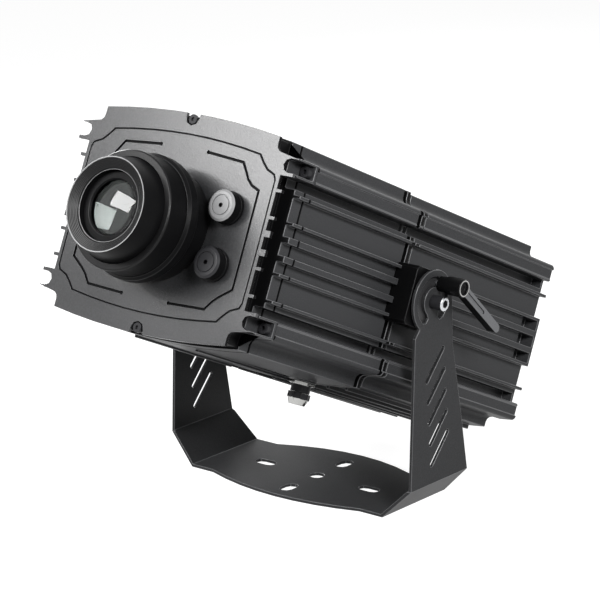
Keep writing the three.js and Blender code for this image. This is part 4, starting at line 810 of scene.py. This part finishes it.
class TurnHood(bpy.types.Operator):
    """The lens hood with its stepped dish, and the ring that holds the lens"""

    bl_idname = "projector.hood"
    bl_label = "Lens hood"

    def execute(self, context):
        sizes = context.scene.projector_barrel
        edges = context.scene.projector_edges
        low, high = head_box("lens_hood")
        ring_front = head_box("barrel_ring")[0].y
        flare = outer_radius("lens_hood")
        rim = flare - sizes.rim_inset
        dish = rim - sizes.rim_wall
        steps = []
        for rib in range(1, sizes.dish_ribs + 1):
            share = rib / (sizes.dish_ribs + 1)
            radius = dish - (dish - sizes.throat - sizes.throat_ring) * share
            place = low.y + sizes.dish_depth * share
            steps += [(radius, place - sizes.dish_rise), (radius, place)]
        lens_back = head_box("front_lens")[1].y + SEAT_GAP
        floor = low.y + sizes.dish_depth
        throat_ring = sizes.throat + sizes.throat_ring
        hood = turned("hood_shell", [
            (dish, low.y), (rim, low.y), (flare, ring_front), (flare, high.y),
            (sizes.throat - sizes.ledge, high.y), (sizes.throat - sizes.ledge, lens_back),
            (sizes.throat, lens_back), (sizes.throat, floor), (throat_ring, floor), *reversed(steps),
        ], closed=True, sides=HOOD_SIDES)
        rounded(hood, FINE_EDGE_SHARE * edges.turned, "satin_black")
        recoat(hood, "satin_black_edge", looks_forward)
        ring_reach = throat_ring - EDGE_SPAN

        # The flat rings at the hood's rim and round its throat take the light faced finish as painted highlight
        # rings
        def on_painted_highlight_ring(face):
            away = math.hypot(face.center.x, face.center.z)
            return face.normal.y < -FLAT_ON and (away < ring_reach or away > dish)

        recoat(hood, "fine_turned", on_painted_highlight_ring)
        dressed(settle(hood, lens_axis()), "lens_hood")

        ring_low, ring_high = head_box("lens_ring")
        inside = sizes.throat - sizes.lens_ring_width
        outside = outer_radius("lens_ring")
        ring = turned("lens_retainer", [
            (inside + sizes.lens_ring_chamfer, ring_low.y), (outside, ring_low.y), (outside, ring_high.y),
            (inside, ring_high.y), (inside, ring_low.y + sizes.lens_ring_chamfer),
        ], closed=True)
        rounded(ring, FINE_EDGE_SHARE * edges.turned, "satin_black")
        dressed(settle(ring, lens_axis()), "lens_ring")
        return {"FINISHED"}


class GrindFrontLens(bpy.types.Operator):
    """The front lens, domed inside its retaining ring"""

    bl_idname = "projector.front_lens"
    bl_label = "Front lens"

    def execute(self, context):
        sizes = context.scene.projector_barrel
        low, high = head_box("front_lens")
        radius = outer_radius("front_lens")
        reach = sizes.throat - sizes.lens_ring_width - SEAT_GAP
        rim = high.y - sizes.lens_edge
        bulge = rim - low.y
        dome = []
        for step in range(DOME_STEPS + 1):
            dome.append((reach * step / DOME_STEPS, low.y + bulge * (step / DOME_STEPS) ** 2))
        lens = turned("lens_front_dome", [*dome, (radius, rim), (radius, high.y), (0, high.y)])
        coat(lens, "coated_glass")
        shade_smooth(lens, LENS_SMOOTH_ANGLE)
        dressed(settle(lens, lens_axis()), "front_lens")
        return {"FINISHED"}


class TurnKnobs(bpy.types.Operator):
    """The focus and zoom knobs beside the lens"""

    bl_idname = "projector.knobs"
    bl_label = "Knobs"

    def execute(self, context):
        sizes = context.scene.projector_knobs
        edges = context.scene.projector_edges
        # The focus knob's whole front is coated light, partly as painted highlight; the zoom knob's front is
        # coated dark
        for node, bevel_finish, face_finish in (
            ("focus_knob", "fine_turned", None), ("zoom_knob", "black_steel", "faced_dark")
        ):
            low, high = head_box(node)
            middle = head_middle(node)
            flange = (high.x - low.x) / 2
            body = flange - sizes.flange_proud
            face_radius = body - sizes.face_inset
            ring_in, ring_out = sizes.ring_radius, sizes.ring_radius + sizes.ring_width
            floor = low.y + sizes.ring_depth
            knob = turned(f"{node}_turned", [
                (0, low.y), (ring_in, low.y), (ring_in, floor), (ring_out, floor), (ring_out, low.y),
                (face_radius, low.y), (body, low.y + sizes.bevel), (body, high.y - sizes.flange),
                (flange, high.y - sizes.flange), (flange, high.y), (0, high.y),
            ], sides=KNOB_SIDES)
            rounded(knob, FINE_EDGE_SHARE * edges.turned, "satin_black")
            front = low.y + sizes.bevel
            recoat(knob, bevel_finish, lambda face: looks_forward(face) and face.center.y < front)
            if face_finish:
                recoat(knob, face_finish, lambda face: face.normal.y < -FLAT_ON and face.center.y < front)
            six_sided_cut(knob, sizes.socket, low.y - OVERRUN, low.y + sizes.socket_depth)
            place = HEAD @ Matrix.Translation((middle.x, 0, middle.z))
            dressed(settle(knob, place), node)
        return {"FINISHED"}


def cap_screw(name, radius, length, socket, edge):
    """A cap head with a hexagon socket half as deep: its top lies at zero and it runs towards +Y."""
    head = turned(name, [(0, 0), (radius, 0), (radius, length), (0, length)], sides=SCREW_SIDES)
    rounded(head, edge, "black_steel")
    six_sided_cut(head, socket, -OVERRUN, HALF * length)
    return head


class MakeScrews(bpy.types.Operator):
    """The heads of the cover, corner and rear screws"""

    bl_idname = "projector.screws"
    bl_label = "Screws"

    def execute(self, context):
        sizes = context.scene.projector_screws
        edge = context.scene.projector_edges.screw
        for family, length, socket, at_front in (
            ("cover", sizes.cover_head, sizes.cover_socket, True),
            ("corner", sizes.corner_head, sizes.corner_socket, True),
            ("rear", sizes.rear_head, sizes.rear_socket, False),
        ):
            nodes = [node for node in sorted(frame["nodes"]) if node.startswith(f"{family}_screw")]
            pattern = cap_screw(f"{family}_pattern", outer_radius(nodes[0]), length, socket, edge)
            for node in nodes:
                low, high = head_box(node)
                middle = head_middle(node)
                piece = bpy.data.objects.new(f"{node}_head", pattern.data.copy())
                bpy.context.scene.collection.objects.link(piece)
                top = low.y if at_front else high.y
                place = HEAD @ Matrix.Translation((middle.x, top, middle.z))
                if not at_front:
                    place = place @ Matrix.Rotation(HALF_TURN, 4, "Z")
                dressed(settle(piece, place), node)
            bpy.data.objects.remove(pattern)
        return {"FINISHED"}


class DressTiltBlocks(bpy.types.Operator):
    """The pivot blocks and friction washers between head and yoke"""

    bl_idname = "projector.tilt_blocks"
    bl_label = "Tilt blocks"

    def execute(self, context):
        edges = context.scene.projector_edges
        for side, _ in SIDES:
            edged_copy(f"pivot_block_{side}", edges.casting, finish="satin_black")
            edged_copy(f"friction_washer_{side}", HALF * edges.turned)
        return {"FINISHED"}


def outward(sign, place):
    """A frame at a place, turned so that its +Y points out of the head on one side."""
    return Matrix.Translation(place) @ Matrix.Rotation(-sign * QUARTER_TURN, 4, "Z")


class TurnPivotBolts(bpy.types.Operator):
    """The pivot bolts: heads and shanks coated black as a painted dark reflection on the steel, with bright steel
    rings at their ends
    """

    bl_idname = "projector.pivot_bolts"
    bl_label = "Pivot bolts"

    def execute(self, context):
        sizes = context.scene.projector_bolts
        edge = context.scene.projector_edges.screw
        head_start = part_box("yoke")[1].x + SEAT_GAP
        for side, sign in SIDES:
            low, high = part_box(f"pivot_bolt_{side}")
            shank_start, tip = sorted((sign * low.x, sign * high.x))
            radius = (high.z - low.z) / 2
            bolt = turned(f"pivot_bolt_{side}_head", [
                (0, shank_start), (sizes.shank, shank_start), (sizes.shank, head_start), (radius, head_start),
                (radius, tip - sizes.chamfer), (radius - sizes.chamfer, tip), (0, tip),
            ], sides=BOLT_SIDES)
            # The head and shank are coated black as a painted dark reflection; only the end ring shows bright
            # steel
            rounded(bolt, edge, "black_steel")
            ring_start = tip - sizes.ring
            recoat(bolt, "bright_steel", lambda face: face.normal.y > FORWARD and face.center.y > ring_start)
            six_sided_cut(bolt, sizes.socket, tip - sizes.socket_depth, tip + OVERRUN)
            dressed(settle(bolt, outward(sign, pivot)), f"pivot_bolt_{side}")
        return {"FINISHED"}


class MakeClampLevers(bpy.types.Operator):
    """The clamp levers, their caps and the bright rings on their hubs"""

    bl_idname = "projector.clamp_levers"
    bl_label = "Clamp levers"

    def execute(self, context):
        sizes = context.scene.projector_lever
        edge = context.scene.projector_edges.turned
        for side, sign in SIDES:
            lever = edged_copy(f"clamp_lever_{side}", edge, finish="satin_black")
            low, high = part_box(f"lever_cap_{side}")
            middle = (low + high) / 2
            hub_end = max(sign * vertex.co.x for vertex in lever.data.vertices)
            arm_start = sizes.hub + sizes.arm_start

            def on_arm(face):
                away = math.hypot(face.center.y - middle.y, face.center.z - middle.z)
                return sign * face.normal.x > HALF and away > arm_start

            recoat(lever, "lever_grey", on_arm)
            edged_copy(f"lever_cap_{side}", HALF * edge, finish="satin_black")
            ring_inside = sizes.ring_outside - sizes.ring
            seat, top = hub_end - sizes.ring_sink, hub_end + sizes.ring_proud
            ring = turned(f"lever_ring_{side}", [
                (sizes.ring_outside, seat), (sizes.ring_outside, top),
                (ring_inside, top), (ring_inside, seat),
            ], sides=BOLT_SIDES, closed=True)
            rounded(ring, HALF * sizes.ring_proud, "nickel")
            settle(ring, outward(sign, (0, middle.y, middle.z)))
            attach(ring, BODY_OF[f"clamp_lever_{side}"])
        return {"FINISHED"}


class MakeGland(bpy.types.Operator):
    """The cable gland under the front housing"""

    bl_idname = "projector.gland"
    bl_label = "Cable gland"

    def execute(self, context):
        sizes = context.scene.projector_gland
        edge = GLAND_EDGE_SHARE * context.scene.projector_edges.turned
        nut_top = head_box("gland_nut")[1].z
        for node, foot, top in (
            ("gland_body", sizes.body_band_foot, sizes.body_band_top),
            ("gland_nut", sizes.nut_band_foot, sizes.nut_band_top),
        ):
            piece = edged_copy(node, edge)
            recoat(piece, "black_steel", lambda face: foot < (TO_HEAD @ face.center).z - nut_top < top)
        return {"FINISHED"}


class FinishInnerWorks(bpy.types.Operator):
    """Finishes for the nodes that keep their own shape: gasket, studs and everything inside"""

    bl_idname = "projector.inner_works"
    bl_label = "Inner works"

    def execute(self, context):
        for node, shape in frame["nodes"].items():
            if shape.hide_render:
                continue
            shape.data.materials.clear()
            shape.data.materials.append(finish_of(SLOT_OF[node]))
        return {"FINISHED"}


# Camera and stage


class PlaceCamera(bpy.types.Operator):
    """The camera at the catalogue picture's angle"""

    bl_idname = "projector.camera"
    bl_label = "Camera"

    def execute(self, context):
        view = context.scene.projector_camera
        flat = math.cos(view.elevation)
        back = Vector((
            math.sin(view.azimuth) * flat, -math.cos(view.azimuth) * flat, math.sin(view.elevation)
        ))
        camera = bpy.data.objects.new("camera", bpy.data.cameras.new("camera"))
        bpy.context.scene.collection.objects.link(camera)
        camera.data.lens = view.lens
        camera.data.sensor_width = view.sensor
        camera.data.clip_end = view.reach
        camera.location = Vector(view.target) + view.distance * back
        camera.rotation_euler = (-back).to_track_quat("-Z", "Y").to_euler()
        bpy.context.scene.camera = camera
        return {"FINISHED"}


# What the lamps are aimed at
BARREL_FOOT = (0, -0.163, 0.283)
HEAD_MIDDLE = (0, 0.05, 0.2)

# Each lamp's name, place, aim, width and height in metres, and its power in watts
LAMPS = (
    ("key_lamp", (-0.342, -1.016, 0.997), BARREL_FOOT, 0.9, 0.5, 20.5),
    ("side_lamp", (1.2, -0.6, 1.0), BARREL_FOOT, 0.5, 0.35, 22),
    ("rear_lamp", (-0.1, 2.0, 0.9), BARREL_FOOT, 1.2, 0.5, 7),
    ("left_lamp", (-1.4, 0.55, 0.85), HEAD_MIDDLE, 0.6, 0.4, 20),
)


def hang_lamp(name, place, target, width, height, power):
    """A soft rectangular lamp that faces a point."""
    light = bpy.data.lights.new(name, "AREA")
    light.shape = "RECTANGLE"
    light.size = width
    light.size_y = height
    light.energy = power
    holder = bpy.data.objects.new(name, light)
    bpy.context.scene.collection.objects.link(holder)
    holder.location = place
    holder.rotation_euler = (Vector(target) - Vector(place)).to_track_quat("-Z", "Y").to_euler()


class SetStage(bpy.types.Operator):
    """Pale floor, white surroundings and soft lamps"""

    bl_idname = "projector.stage"
    bl_label = "Stage"

    def execute(self, context):
        stage = context.scene.projector_stage
        deselect_all()
        bpy.ops.mesh.primitive_plane_add(size=stage.floor_width, location=(0, 0, -stage.floor_drop))
        floor = start("floor")
        floor.data.materials.append(self.floor_finish(stage))
        context.scene.world = self.surroundings(stage)
        for lamp in LAMPS:
            hang_lamp(*lamp)
        context.scene.view_settings.view_transform = "Standard"
        return {"FINISHED"}

    def floor_finish(self, stage):
        """A cloth that takes shadows, and looks nearly white to the camera."""
        recipe = Recipe(bpy.data.materials.new("floor_white"))
        grey = (stage.cloth, stage.cloth, stage.cloth, 1)
        cloth = recipe.add("ShaderNodeBsdfDiffuse", sockets={"Color": grey})
        glow = recipe.add("ShaderNodeEmission", sockets={
            "Color": (1, 1, 1, 1), "Strength": stage.glow * recipe.plain_rays(),
        })
        both = recipe.add("ShaderNodeAddShader", sockets={0: cloth, 1: glow})
        return recipe.end("ShaderNodeOutputMaterial", both)

    def surroundings(self, stage):
        """White to the camera, in gloss and through glass, and a weak light otherwise."""
        recipe = Recipe(bpy.data.worlds.new("surroundings"))
        glow = recipe.add("ShaderNodeBackground", sockets={
            "Color": (1, 1, 1, 1), "Strength": stage.ambient + (1 - stage.ambient) * recipe.plain_rays(),
        })
        return recipe.end("ShaderNodeOutputWorld", glow)


PIECE_OPERATORS = (
    PlaceCamera, SetStage, DressYoke, DressHousings, DressFrontCover, TurnBarrel, TurnHood, GrindFrontLens,
    TurnKnobs, MakeScrews, DressTiltBlocks, TurnPivotBolts, MakeClampLevers, MakeGland, FinishInnerWorks,
)


class ProjectorPanel(bpy.types.Panel):
    """The list of pieces in the sidebar"""

    bl_idname = "VIEW3D_PT_projector"
    bl_label = "Gobo projector"
    bl_space_type = "VIEW_3D"
    bl_region_type = "UI"
    bl_category = "Projector"

    def draw(self, context):
        for piece in PIECE_OPERATORS:
            self.layout.operator(piece.bl_idname)


SETTINGS = {
    "projector_edges": EdgeSizes,
    "projector_frame": FrameSizes,
    "projector_barrel": BarrelSizes,
    "projector_knobs": KnobSizes,
    "projector_screws": ScrewSizes,
    "projector_bolts": BoltSizes,
    "projector_lever": LeverSizes,
    "projector_gland": GlandSizes,
    "projector_finishes": FinishColours,
    "projector_camera": CameraSettings,
    "projector_stage": StageSettings,
}
CLASSES = (*SETTINGS.values(), *PIECE_OPERATORS, ProjectorPanel)


def register():
    """Registers the classes, and adds their settings to the scene."""
    for kind in CLASSES:
        bpy.utils.register_class(kind)
    for name, kind in SETTINGS.items():
        setattr(bpy.types.Scene, name, PointerProperty(type=kind))


def unregister():
    """Takes the settings and the classes away again."""
    for name in SETTINGS:
        delattr(bpy.types.Scene, name)
    for kind in reversed(CLASSES):
        bpy.utils.unregister_class(kind)


def main():
    """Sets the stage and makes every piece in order."""
    register()
    bpy.ops.projector.camera()
    bpy.ops.projector.stage()
    bpy.ops.projector.yoke()
    bpy.ops.projector.housings()
    bpy.ops.projector.front_cover()
    bpy.ops.projector.barrel()
    bpy.ops.projector.hood()
    bpy.ops.projector.front_lens()
    bpy.ops.projector.knobs()
    bpy.ops.projector.screws()
    bpy.ops.projector.tilt_blocks()
    bpy.ops.projector.pivot_bolts()
    bpy.ops.projector.clamp_levers()
    bpy.ops.projector.gland()
    bpy.ops.projector.inner_works()
    deselect_all()


if __name__ == "__main__":
    main()
